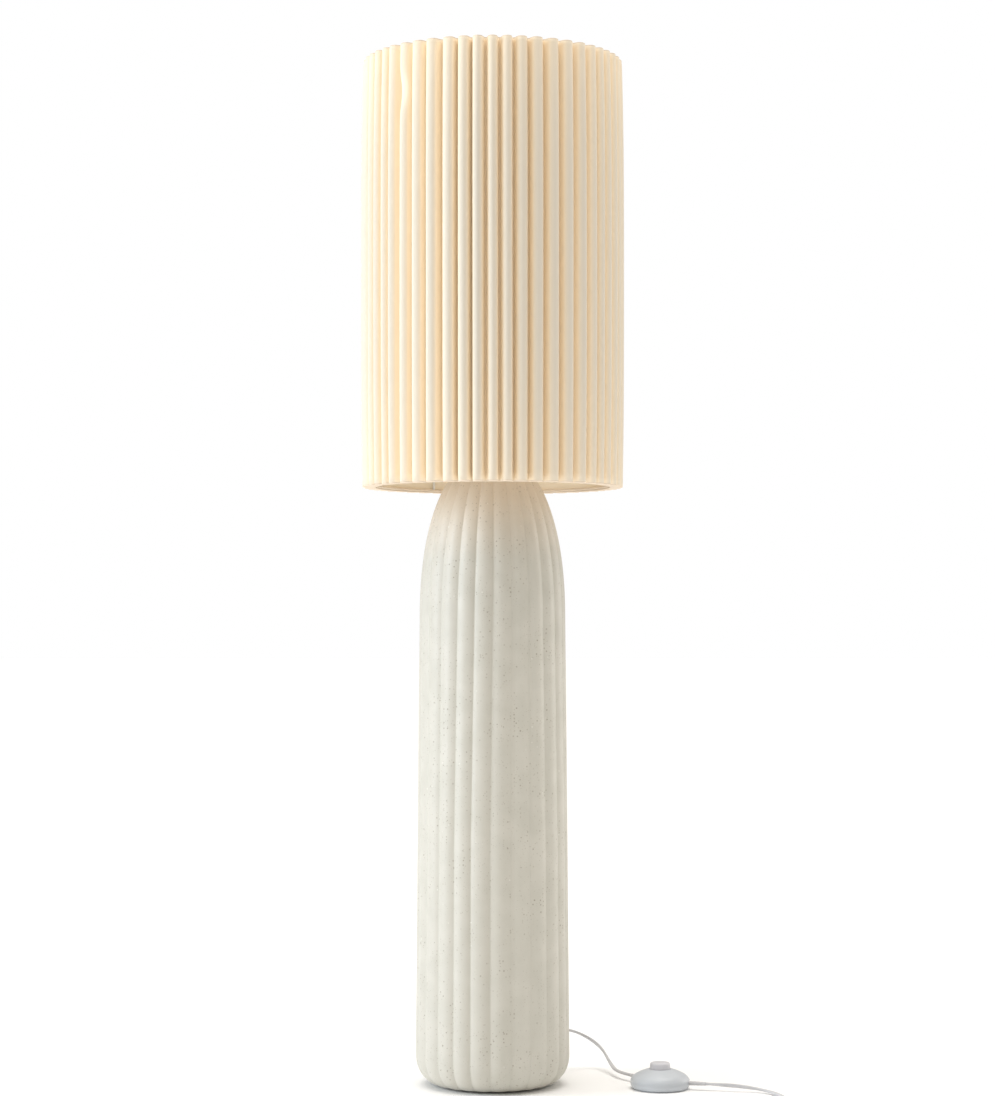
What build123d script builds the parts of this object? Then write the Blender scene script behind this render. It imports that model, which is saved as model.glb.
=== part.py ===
from build123d import *
import math
import os

os.makedirs("parts", exist_ok=True)

# Millimetres. Origin on the floor on the lamp's axis, +Z up, +Y away from the viewer.

# Ribbed ceramic body
rib_count = 24
rib_crest_azimuth = 50.5
rib_depth = 2.6
body_crest_r = 94.3
body_bottom_z = 2.0
foot_curve_r = 27.0
foot_curve_h = 36.0
shoulder_z = 570.0
shoulder_crest_r = 89.4
dome_height = 203.0
dome_power = 2.2
body_top_z = 762.0
body_wall = 7.0
body_top_t = 8.0
floor_bottom_z = 14.0
floor_top_z = 24.0
recess_r = 54.0
pad_r = 63.0
pad_hole_r = 20.0
tube_hole_r = 7.0

# Tie tube and what it clamps
tube_r = 5.0
tube_bore_r = 4.0
tube_bottom_z = 3.5
tube_slot_h = 28.0
plate_r = 52.0
plate_t = 2.5
washer_t = 2.0
washer_r = 14.0
nut_h = 5.0
nut_flats = 16.0
gasket_t = 1.0
cap_r = 33.0
cap_h = 5.2
cap_t = 1.2
top_washer_t = 1.5
top_washer_r = 11.0
top_nut_h = 6.3

# Cord and its outlet
cord_d = 5.4
outlet_z = 52.0
outlet_hole_r = 6.5
outlet_flange_r = 8.6
outlet_length = 20.0
outlet_nose_r = 3.4

# Lamp holder
holder_r = 20.0
holder_wall = 2.0
holder_base_h = 24.0
holder_skirt_h = 46.0
insert_h = 16.0
insert_sunk = 4.0
flange_h = 15.0
flange_t = 2.0
flange_r = 23.5
shell_r = 13.5
shell_t = 0.4
shell_h = 30.0
terminal_r = 2.2
terminal_x = 9.0

# Bulb
bulb_z = 820.0
bulb_length = 108.0
bulb_r = 30.0
bulb_cap_r = 13.1
housing_h = 26.4
housing_r = 22.5

# Shade
shade_bottom_z = 729.8
shade_top_z = 1249.6
shade_r = 161.0
pleat_count = 52
pleat_crest_r = 6.5
pleat_sheet = 1.0
pleat_floor = 0.8
pleat_crest_facets = 5
pleat_depth = 17.5
liner_t = 1.0
trim_t = 1.5
trim_inset = 0.5
wire_r = 1.5
arm_azimuths = (1.8, 121.8, 241.8)
hub_out_r = 30.0
hub_t = 1.2
clamp_r = 25.0
clamp_h = 6.0

# Foot switch
switch_x = 203.0
switch_y = -32.0
switch_r = 35.75
switch_rim_z = 14.5
switch_neck_z = 24.0
switch_top_z = 32.0
switch_split_z = 8.0
switch_wall = 2.0
switch_floor_t = 2.4
button_r = 12.25
button_flange_r = 14.2
button_flange_t = 1.4
button_stem_z = 15.8
module_top_z = 12.2
screw_r = 1.4
cord_in_azimuth = 125.0
cord_out_azimuth = -15.0
relief_length = 20.0
relief_r = 4.2
relief_nose_r = 3.2

# Coil, its tie and the plug
coil_x = 312.5
coil_y = -240.0
coil_radius = 36.0
coil_pitch = 6.0
coil_z = 3.6
coil_layer_halves = 3
tie_t = 0.7
tie_width = 9.0
plug_y = -176.0
plug_x = 188.0
plug_length = 35.5
plug_width = 35.0
plug_height = 13.7
plug_relief_length = 22.0
pin_r = 2.0
pin_length = 19.0
pin_spacing = 18.6

# Flat facets that stand for round forms
round_sides = 24
shade_sides = 52
small_sides = 12
wire_sides = 6
cord_sides = 8

# Clearances and welds
free_gap = 0.2
snug_gap = 0.05
bush_gap = 0.15
guide_gap = 0.35
weld = 0.3

# Heights and places that follow
cord_r = cord_d / 2
plate_z = floor_bottom_z - plate_t
washer_z = plate_z - washer_t
nut_z = washer_z - nut_h
cap_z = body_top_z + gasket_t
top_washer_z = cap_z + cap_h
top_nut_z = top_washer_z + top_washer_t
holder_z = top_nut_z + top_nut_h
skirt_z = holder_z + holder_base_h
insert_z = skirt_z - insert_sunk
insert_top_z = insert_z + insert_h
holder_top_z = skirt_z + holder_skirt_h
flange_top_z = skirt_z + flange_h
hub_z = flange_top_z + free_gap
clamp_z = hub_z + hub_t + free_gap
cap_low_z = bulb_z + 4.0
housing_z = holder_top_z + 0.6
housing_top_z = housing_z + housing_h
liner_r = shade_r - pleat_depth
trim_out_r = shade_r - trim_inset
cover_low_z = shade_bottom_z + trim_t
cover_top_z = shade_top_z - trim_t
ring_r = liner_r - wire_r - snug_gap
low_ring_z = cover_low_z + wire_r + snug_gap
top_ring_z = cover_top_z - wire_r - snug_gap
grommet_in_r = body_crest_r - rib_depth - body_wall - 4.7
grommet_out_r = body_crest_r + snug_gap + outlet_length
coil_high_z = coil_z + coil_pitch
plug_z = plug_height / 2


def polar(radius, azimuth, z=0.0):
    a = math.radians(azimuth)
    return (radius * math.cos(a), radius * math.sin(a), z)


def circle_points(radius, z, sides):
    return [polar(radius, 360.0 * (i + 0.5) / sides, z) for i in range(sides)]


def polygon_face(points):
    return Face(Wire.make_polygon(points, close=True))


def band_faces(low, high):
    # one flat face per side between two like outlines
    around = zip(low, low[1:] + low[:1], high[1:] + high[:1], high)
    return [polygon_face(corners) for corners in around]


def flat_face(r_in, r_out, z, sides):
    rim = Wire.make_polygon(circle_points(r_out, z, sides), close=True)
    if r_in == 0:
        return Face(rim)
    return Face(rim, [Wire.make_polygon(circle_points(r_in, z, sides), close=True)])


def stacked(sections):
    # a closed solid through like outlines, one above the next
    faces = [polygon_face(sections[0]), polygon_face(sections[-1])]
    for low, high in zip(sections, sections[1:]):
        faces += band_faces(low, high)
    return Solid(Shell(faces))


def turned(profile, sides=round_sides):
    # a lathe shape with flat sides, from a closed outline of (radius, height)
    faces = []
    for (r0, z0), (r1, z1) in zip(profile, profile[1:] + profile[:1]):
        if r0 == 0 and r1 == 0:
            continue
        if z0 == z1:
            faces.append(flat_face(min(r0, r1), max(r0, r1), z0, sides))
        else:
            faces += band_faces(circle_points(r0, z0, sides), circle_points(r1, z1, sides))
    return Solid(Shell(faces))


def disc(radius, z0, z1, sides=round_sides):
    return turned([(0, z0), (radius, z0), (radius, z1), (0, z1)], sides)


def ring(r_in, r_out, z0, z1, sides=round_sides):
    return turned([(r_in, z0), (r_out, z0), (r_out, z1), (r_in, z1)], sides)


def along(start, direction):
    return Plane(origin=start, z_dir=direction)


def swept_tube(path, radius, sides, start, direction):
    section = along(start, direction) * RegularPolygon(radius, sides)
    return sweep(section, path=path)


def rounded_path(points):
    # straight runs joined by arcs that take 45 per cent of the shorter run
    radii = []
    for before, corner, after in zip(points, points[1:], points[2:]):
        a = Vector(*corner) - Vector(*before)
        b = Vector(*after) - Vector(*corner)
        half_turn = math.radians(a.get_angle(b)) / 2
        radii.append(min(400.0, 0.45 * min(a.length, b.length) / math.tan(half_turn)))
    return FilletPolyline(*points, radius=radii), radii


def free_cord(name, points):
    path, radii = rounded_path(points)
    first = Vector(*points[1]) - Vector(*points[0])
    solid = swept_tube(path, cord_r, cord_sides, points[0], first)
    area = cord_sides / 2 * cord_r ** 2 * math.sin(2 * math.pi / cord_sides)
    print(name, "length", round(path.length, 1), "radii", [round(r, 1) for r in radii])
    print(name, "volume over section times length", round(solid.volume / area / path.length, 4))
    return solid


# Ceramic body


def crest_radius(z):
    foot_top = body_bottom_z + foot_curve_h
    if z < foot_top:
        s = (foot_top - z) / foot_curve_h
        return body_crest_r - foot_curve_r * (1 - math.sqrt(max(0.0, 1 - s * s)))
    if z <= shoulder_z:
        return body_crest_r + (z - foot_top) / (shoulder_z - foot_top) * (shoulder_crest_r - body_crest_r)
    t = (z - shoulder_z) / dome_height
    return shoulder_crest_r * (1 - t ** dome_power) ** (1 / dome_power)


def rib_section(z):
    # each rib is a shallow convex crest, with one narrow groove point between ribs
    crest = crest_radius(z)
    depth = rib_depth * crest / body_crest_r
    pitch = 360.0 / rib_count
    points = []
    for i in range(rib_count):
        azimuth = rib_crest_azimuth + i * pitch
        for share in (-0.38, -0.2, 0.0, 0.2, 0.38):
            drop = 0.55 * (share / 0.38) ** 2
            points.append(polar(crest - drop * depth, azimuth + share * pitch, z))
        points.append(polar(crest - depth, azimuth + 0.5 * pitch, z))
    return points


def body_heights():
    foot_top = body_bottom_z + foot_curve_h
    foot = [foot_top - foot_curve_h * math.sin(math.radians(a)) for a in (90, 68, 48, 30, 14, 0)]
    reach = ((body_top_z - shoulder_z) / dome_height) ** (dome_power / 2)
    end = math.asin(reach)
    dome = [shoulder_z + dome_height * math.sin(end * k / 7) ** (2 / dome_power) for k in range(8)]
    return foot + dome[:-1] + [body_top_z]


def body_cavity():
    wall_r = body_crest_r - rib_depth - body_wall
    dome_r = shoulder_crest_r - rib_depth - body_wall
    dome_h = body_top_z - body_top_t - shoulder_z
    profile = [(0, floor_top_z), (wall_r - 18.0, floor_top_z), (wall_r - 5.0, floor_top_z + 9.0)]
    profile.append((wall_r, floor_top_z + 24.0))
    for angle in (0, 20, 36, 50, 62):
        t = math.sin(math.radians(angle)) ** (2 / dome_power)
        profile.append((dome_r * math.cos(math.radians(angle)) ** (2 / dome_power), shoulder_z + dome_h * t))
    profile.append((22.0, shoulder_z + dome_h))
    profile.append((0, shoulder_z + dome_h))
    return turned(profile)


def ceramic_body():
    solid = stacked([rib_section(z) for z in body_heights()])
    solid = solid - body_cavity()
    solid = solid - disc(recess_r, body_bottom_z - 1, floor_bottom_z)
    solid = solid - disc(tube_hole_r, floor_bottom_z - 1, floor_top_z + 1)
    solid = solid - disc(tube_hole_r, body_top_z - body_top_t - 1, body_top_z + 1)
    outward = along((0, 0, outlet_z), polar(1, rib_crest_azimuth))
    return solid - outward * disc(outlet_hole_r, grommet_in_r, grommet_out_r, small_sides)


def foot_pad():
    return ring(pad_hole_r, pad_r, 0.0, body_bottom_z)


def base_plate():
    return ring(tube_r + free_gap, plate_r, plate_z, floor_bottom_z)


# Tie tube, washers and nuts


def washer(z, radius, thickness):
    return ring(tube_r + free_gap, radius, z, z + thickness)


def hex_nut(z, height):
    block = Pos(0, 0, z) * extrude(RegularPolygon(nut_flats / 2, 6, major_radius=False), amount=height)
    return block - disc(tube_r + snug_gap, z - 1, z + height + 1)


def tie_tube():
    tube = ring(tube_bore_r, tube_r, tube_bottom_z, holder_z + holder_base_h / 2)
    slot = Pos(tube_r, 0, outlet_z + 9.0) * Box(2 * tube_r, cord_d + 1.6, tube_slot_h)
    return tube - Rot(0, 0, rib_crest_azimuth) * slot


def neck_gasket():
    return ring(tube_hole_r + 2.0, cap_r - 2.0, body_top_z, cap_z)


def neck_cap():
    bore = tube_r + free_gap
    flat = 2 * tube_r + 3.0
    return turned([
        (cap_r - 3.6, cap_z), (cap_r, cap_z), (cap_r - 2.0, cap_z + 1.8), (flat, cap_z + cap_h),
        (bore, cap_z + cap_h), (bore, cap_z + cap_h - cap_t), (flat, cap_z + cap_h - cap_t)])


# Cord outlet and the cable inside the lamp


def cord_grommet():
    face = body_crest_r + snug_gap
    wall_in = face - rib_depth - body_wall - 2.5
    bush = outlet_hole_r - bush_gap
    lip = outlet_hole_r + 1.0
    profile = [
        (0, grommet_in_r), (lip, grommet_in_r), (lip, wall_in), (bush, wall_in), (bush, face),
        (outlet_flange_r, face), (outlet_flange_r, face + 2.0), (cord_d, face + 2.6),
        (outlet_nose_r, grommet_out_r), (0, grommet_out_r)]
    return along((0, 0, outlet_z), polar(1, rib_crest_azimuth)) * turned(profile, small_sides)


def inner_cable():
    start = polar(grommet_in_r, rib_crest_azimuth, outlet_z)
    path = FilletPolyline(start, (0, 0, outlet_z), (0, 0, insert_z), radius=24.0)
    return swept_tube(path, cord_r, cord_sides, start, polar(-1, rib_crest_azimuth))


# Lamp holder


def holder_base():
    bore = tube_r + snug_gap
    wide = holder_r - holder_wall
    step = wide - 2.5
    floor_z = holder_z + 6.0
    return turned([
        (bore, holder_z), (holder_r - 4.0, holder_z), (holder_r, holder_z + 5.0), (holder_r, skirt_z),
        (wide, skirt_z), (wide, insert_z), (step, insert_z), (step, floor_z),
        (bore + 3.5, floor_z), (bore + 3.5, floor_z + 8.0), (bore, floor_z + 8.0)])


def holder_insert():
    block = disc(holder_r - holder_wall - 3 * free_gap, insert_z, insert_top_z)
    hole = disc(terminal_r + snug_gap, insert_top_z - 5.0, insert_top_z + 1, small_sides)
    return block - Pos(terminal_x, 0, 0) * hole - Pos(-terminal_x, 0, 0) * hole


def terminal_screws():
    screw = disc(terminal_r, insert_top_z - 5.0, insert_top_z + 1.2, small_sides)
    return Compound([Pos(side * terminal_x, 0, 0) * screw for side in (-1, 1)])


def holder_contact():
    top = bulb_z - free_gap
    low = insert_top_z
    t = 0.6
    leaf = Polyline(
        (-4.5, low), (1.4, low), (4.6, top), (-2.5, top),
        (-2.5, top - t), (3.7, top - t), (1.0, low + t), (-4.5, low + t), close=True)
    return extrude(Plane.XZ * make_face(leaf), amount=2.5, both=True)


def holder_shell():
    return ring(shell_r, shell_r + shell_t, insert_top_z, insert_top_z + shell_h)


def holder_skirt():
    narrow = shell_r + shell_t + 0.3
    wide = holder_r - holder_wall
    shelf_z = insert_top_z + 2 * free_gap
    return turned([
        (wide, skirt_z), (holder_r, skirt_z), (holder_r, flange_top_z - flange_t), (flange_r, flange_top_z - flange_t),
        (flange_r, flange_top_z), (holder_r, flange_top_z), (holder_r, holder_top_z - 1.0),
        (holder_r - 1.0, holder_top_z), (narrow, holder_top_z), (narrow, shelf_z), (wide, shelf_z)])


def clamp_ring():
    bore = holder_r + snug_gap
    return turned([
        (bore, clamp_z), (clamp_r, clamp_z), (clamp_r, clamp_z + clamp_h - 1.0),
        (clamp_r - 1.0, clamp_z + clamp_h), (bore, clamp_z + clamp_h)])


# Bulb


def bulb_contact():
    return disc(4.5, bulb_z, bulb_z + 1.2)


def bulb_insulator():
    return turned([(0, bulb_z + 1.2), (5.0, bulb_z + 1.2), (10.5, cap_low_z), (0, cap_low_z)])


def bulb_cap():
    return turned([
        (0, cap_low_z), (bulb_cap_r - 1.6, cap_low_z), (bulb_cap_r, cap_low_z + 2.0), (bulb_cap_r, housing_z),
        (0, housing_z)])


def bulb_housing():
    return turned([
        (0, housing_z), (bulb_cap_r + 2.4, housing_z), (bulb_cap_r + 4.4, housing_z + 8.0),
        (housing_r, housing_top_z), (0, housing_top_z)])


def bulb_globe():
    centre_z = bulb_z + bulb_length - bulb_r
    low = math.degrees(math.asin((housing_top_z - centre_z) / bulb_r))
    angles = [low + (84.0 - low) * k / 8 for k in range(9)]
    sections = [circle_points(*globe_point(a, centre_z), round_sides) for a in angles]
    return stacked(sections)


def globe_point(angle, centre_z):
    # the last section is lifted so that the flat crown stands at full height
    a = math.radians(angle)
    lift = 1 / math.sin(math.radians(84.0)) if angle > 83.9 else 1.0
    return bulb_r * math.cos(a), centre_z + bulb_r * math.sin(a) * lift


# Shade


def fitter_hub():
    return ring(holder_r + 3 * free_gap, hub_out_r, hub_z, hub_z + hub_t)


def fitter_arm(azimuth):
    z = hub_z - wire_r * math.cos(math.pi / wire_sides) + weld
    out = ring_r * math.cos(math.pi / shade_sides) - 2 * snug_gap
    start = (flange_r + 1.2, 0, z)
    foot = (out, 0, low_ring_z + wire_r - weld)
    path = FilletPolyline(start, (hub_out_r + 20.0, 0, z), (out, 0, low_ring_z + 25.0), foot, radius=[24.0, 14.0])
    return Rot(0, 0, azimuth) * swept_tube(path, wire_r, wire_sides, start, (1, 0, 0))


def shade_ring(profile):
    # corners stand behind the crests, flat sides behind the valleys
    return Rot(0, 0, 180.0 / shade_sides) * turned(profile, shade_sides)


def shade_band(r_in, r_out, z0, z1):
    return shade_ring([(r_in, z0), (r_out, z0), (r_out, z1), (r_in, z1)])


def wire_ring(z):
    corners = [math.radians(90.0 + 360.0 * k / wire_sides) for k in range(wire_sides)]
    outline = [(ring_r + wire_r * math.cos(a), z + wire_r * math.sin(a)) for a in corners]
    return shade_ring(outline)


def shade_liner():
    return shade_band(liner_r, liner_r + liner_t, cover_low_z, cover_top_z)


def trim_ring(z):
    return shade_band(liner_r - 0.5, trim_out_r, z, z + trim_t)


def pleat_outline(crest_r, centre_r, low, wall_angle):
    # rounded crest, straight walls and half a valley floor on each side, seen from above
    half = [(crest_r * math.sin(a), centre_r + crest_r * math.cos(a)) for a in facet_angles(wall_angle)]
    return [(-low[0], low[1])] + half + [low]


def facet_angles(wall_angle):
    return [wall_angle * (2 * k / pleat_crest_facets - 1) for k in range(pleat_crest_facets + 1)]


def pleated_cover():
    half_pitch = math.pi / pleat_count
    centre_r = shade_r - pleat_crest_r
    floor_r = (liner_r + liner_t) * math.cos(math.pi / shade_sides) + snug_gap
    top_r = floor_r + pleat_sheet
    corner = (top_r * math.tan(half_pitch) - pleat_floor, top_r)
    reach = math.hypot(corner[0], centre_r - corner[1])
    wall_angle = math.atan2(corner[0], corner[1] - centre_r) - math.acos(pleat_crest_r / reach)
    inner_r = pleat_crest_r - pleat_sheet
    run = (centre_r + inner_r * math.cos(wall_angle) - floor_r) / math.sin(wall_angle)
    inner_corner = (inner_r * math.sin(wall_angle) + run * math.cos(wall_angle), floor_r)
    outer = pleat_ring(pleat_outline(pleat_crest_r, centre_r, corner, wall_angle))
    inner = pleat_ring(pleat_outline(inner_r, centre_r, inner_corner, wall_angle))
    sheet = Face(Wire.make_polygon(outer, close=True), [Wire.make_polygon(inner, close=True)])
    return extrude(sheet, amount=cover_top_z - cover_low_z, dir=(0, 0, 1))


def pleat_ring(outline):
    points = []
    for i in range(pleat_count):
        a = 2 * math.pi * i / pleat_count - math.pi / 2
        for x, r in outline:
            points.append((r * math.cos(a) - x * math.sin(a), r * math.sin(a) + x * math.cos(a), cover_low_z))
    return points


# Foot switch


def at_switch(shape):
    return Pos(switch_x, switch_y, 0) * shape


def switch_openings(azimuth):
    hole = disc(relief_r + 2 * snug_gap, switch_r - 6.0, switch_r + 6.0, small_sides)
    return along((0, 0, switch_split_z), polar(1, azimuth)) * hole


def screw_places():
    reach = (button_r + switch_r) / 3
    return [(reach, reach), (-reach, -reach)]


def switch_base_shell():
    inner = switch_r - switch_wall
    rim_z = switch_split_z - snug_gap
    shell = turned([
        (0, 0), (switch_r - 1.0, 0), (switch_r, 1.0), (switch_r, rim_z),
        (inner, rim_z), (inner, switch_floor_t), (0, switch_floor_t)])
    for azimuth in (cord_in_azimuth, cord_out_azimuth):
        shell = shell - switch_openings(azimuth)
    for x, y in screw_places():
        shell = shell - Pos(x, y, 0) * disc(2 * screw_r + free_gap, -1, 1.6, small_sides)
        shell = shell - Pos(x, y, 0) * disc(screw_r + free_gap, 1, 3, small_sides)
    return at_switch(shell)


def switch_top_shell():
    hole_r = button_r + guide_gap
    inner = switch_r - switch_wall
    slope = (switch_neck_z - switch_rim_z) / (switch_r - 1.0 - hole_r)
    drop = switch_wall * math.hypot(1, slope)
    shell = turned([
        (inner, switch_split_z), (switch_r, switch_split_z), (switch_r, switch_rim_z - 0.8),
        (switch_r - 1.0, switch_rim_z), (hole_r + 0.8, switch_neck_z), (hole_r, switch_neck_z - 0.5),
        (hole_r, switch_neck_z - drop), (inner, switch_neck_z - drop - slope * (inner - hole_r))])
    for azimuth in (cord_in_azimuth, cord_out_azimuth):
        shell = shell - switch_openings(azimuth)
    for x, y in screw_places():
        reach = switch_neck_z - slope * (math.hypot(x, y) - hole_r) - drop / 2
        shell = shell + Pos(x, y, 0) * disc(3.6, switch_floor_t + free_gap, reach, small_sides)
        shell = shell - Pos(x, y, 0) * disc(screw_r + snug_gap, 2, module_top_z + 0.3, small_sides)
    return at_switch(shell)


def switch_button():
    flange_z = button_stem_z + 3.2
    flange_top = flange_z + button_flange_t
    return at_switch(turned([
        (0, button_stem_z), (3.0, button_stem_z), (3.0, flange_z), (button_flange_r, flange_z),
        (button_flange_r, flange_top), (button_r, flange_top), (button_r, switch_top_z - 2.4),
        (button_r - 0.9, switch_top_z - 0.7), (button_r - 3.0, switch_top_z), (0, switch_top_z)]))


def switch_module():
    top = module_top_z - 2.2
    block = Pos(0, 0, (switch_floor_t + top) / 2) * Box(22.0, 15.0, top - switch_floor_t)
    nose = disc(3.2, top, module_top_z, small_sides)
    return at_switch(Rot(0, 0, -45) * (block + nose))


def switch_screws():
    screw = turned([
        (0, 0.6), (2 * screw_r, 0.6), (2 * screw_r, 1.6), (screw_r, 1.6), (screw_r, module_top_z), (0, module_top_z)],
        small_sides)
    return Compound([at_switch(Pos(x, y, 0) * screw) for x, y in screw_places()])


def switch_relief(azimuth):
    inner = (switch_r - switch_wall) * math.cos(math.pi / round_sides) - guide_gap
    grip = turned([
        (0, inner - 5.0), (relief_r + 0.7, inner - 5.0), (relief_r + 0.7, inner), (relief_r, inner),
        (relief_r, switch_r + 1.5), (relief_nose_r, switch_r + relief_length), (0, switch_r + relief_length)],
        small_sides)
    return along((switch_x, switch_y, switch_split_z), polar(1, azimuth)) * grip


def switch_nose(azimuth, further=0.0):
    x, y, z = polar(switch_r + relief_length + further, azimuth, switch_split_z)
    return (switch_x + x, switch_y + y, z)


# Free cord, coil and plug


def base_cord():
    return free_cord("base_cord", [
        polar(grommet_out_r, rib_crest_azimuth, outlet_z),
        polar(grommet_out_r + 34.0, rib_crest_azimuth, outlet_z),
        (136.0, 119.0, 30.0),
        (149.0, 66.0, 10.5),
        switch_nose(cord_in_azimuth, 28.0),
        switch_nose(cord_in_azimuth),
    ])


def plug_cord():
    return free_cord("plug_cord", [
        switch_nose(cord_out_azimuth),
        switch_nose(cord_out_azimuth, 34.0),
        (329.0, -61.0, 2.9),
        (347.0, -108.0, 2.8),
        (coil_x + coil_radius, coil_y + 68.0, coil_z),
        (coil_x + coil_radius, coil_y + cord_d, coil_z),
    ])


def coil_halves():
    # half turns (start x, end x, side, start z, end z): inward below, one that climbs, outward above
    step = coil_pitch / 2
    radii = [coil_radius - k * step for k in range(coil_layer_halves)]
    levels = [(coil_z, coil_z)] * coil_layer_halves + [(coil_z, coil_high_z)]
    levels += [(coil_high_z, coil_high_z)] * coil_layer_halves
    radii = radii + [coil_radius - coil_layer_halves * step] + radii[::-1]
    halves = []
    x = coil_radius
    side = -1
    for r, (z0, z1) in zip(radii, levels):
        end = x + 2 * r * side
        halves.append((x, end, side, z0, z1))
        x = end
        side = -side
    return halves


def coil_edges():
    # a straight end one diameter long before the first turn and after the last
    edges = [Edge.make_line((coil_x + coil_radius, coil_y + cord_d, coil_z), (coil_x + coil_radius, coil_y, coil_z))]
    for x0, x1, side, z0, z1 in coil_halves():
        r = abs(x1 - x0) / 2
        start = (coil_x + x0, coil_y, z0)
        end = (coil_x + x1, coil_y, z1)
        rise = (z1 - z0) / 2
        middle = (coil_x + (x0 + x1) / 2, coil_y + side * math.hypot(r, rise), z0 + rise)
        if rise == 0:
            edges.append(Edge.make_three_point_arc(start, middle, end))
            continue
        first = Edge.make_tangent_arc(start, (0, side, 0), middle)
        edges += [first, Edge.make_tangent_arc(middle, first % 1, end)]
    last = (coil_x + coil_halves()[-1][1], coil_y, coil_high_z)
    edges.append(Edge.make_line(last, (last[0], coil_y + cord_d, coil_high_z)))
    return edges


def coil_gap(edges):
    # least distance between strands more than five diameters apart along the cord
    points = []
    walked = 0.0
    for edge in edges:
        for k in range(24):
            p = edge @ (k / 24)
            points.append((p.X, p.Y, p.Z, walked + edge.length * k / 24))
        walked += edge.length
    near = 1e9
    for i, a in enumerate(points):
        for b in points[i + 1:]:
            if b[3] - a[3] > 5 * cord_d:
                near = min(near, math.dist(a[:3], b[:3]))
    return near - cord_d


def cord_coil():
    edges = coil_edges()
    section = Plane(origin=edges[0] @ 0, x_dir=(0, 0, 1), z_dir=(0, -1, 0))
    solid = sweep(section * RegularPolygon(cord_r, cord_sides, rotation=180 / cord_sides), path=Wire(edges))
    length = sum(edge.length for edge in edges)
    area = cord_sides / 2 * cord_r ** 2 * math.sin(2 * math.pi / cord_sides)
    print("cord_coil length", round(length, 1), "least gap", round(coil_gap(edges), 3))
    print("cord_coil volume over section times length", round(solid.volume / area / length, 4))
    return solid


def coil_tie():
    inmost = coil_radius - coil_layer_halves * coil_pitch / 2
    inner_y = math.sqrt(inmost ** 2 - (tie_width / 2) ** 2) - cord_r - bush_gap
    outer_y = coil_radius + cord_r + bush_gap
    low = coil_z - cord_r - bush_gap
    high = coil_high_z + cord_r + bush_gap
    hole = Box(tie_width + 2, outer_y - inner_y, high - low)
    band = Box(tie_width, outer_y - inner_y + 2 * tie_t, high - low + 2 * tie_t)
    return Pos(coil_x, coil_y - (inner_y + outer_y) / 2, (low + high) / 2) * (band - hole)


def plug_lead():
    end_x = coil_x + coil_halves()[-1][1]
    return free_cord("plug_lead", [
        (end_x, coil_y + cord_d, coil_high_z),
        (end_x, plug_y, coil_high_z),
        (plug_x + plug_relief_length, plug_y, plug_z),
    ])


def plug_relief():
    cone = turned([
        (0, 0), (4.6, 0), (4.6, 4.0), (relief_nose_r, plug_relief_length), (0, plug_relief_length)], small_sides)
    return Plane(origin=(plug_x, plug_y, plug_z), z_dir=(1, 0, 0)) * cone


def plug_body():
    half = plug_width / 2
    outline = Polyline(
        (0, -8.0), (0, 8.0), (-8.0, 11.0), (-13.0, half), (-plug_length, half),
        (-plug_length, -half), (-13.0, -half), (-8.0, -11.0), close=True)
    block = extrude(make_face(outline), amount=plug_height)
    block = chamfer(block.edges().group_by(Axis.Z)[-1], 2.0)
    block = chamfer(block.edges().group_by(Axis.Z)[0], 2.0)
    return Pos(plug_x, plug_y, 0) * block


def plug_pins():
    outline = Polyline(
        (0, 0), (pin_r, 0), (pin_r, pin_length - 1.0), (pin_r - 0.8, pin_length), (0, pin_length), close=True)
    pin = revolve(Plane.XZ * make_face(outline), Axis.Z)
    pins = []
    for side in (-1, 1):
        start = (plug_x - plug_length, plug_y + side * pin_spacing / 2, plug_z)
        pins.append(Plane(origin=start, z_dir=(-1, 0, 0)) * pin)
    return Compound(pins)


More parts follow.
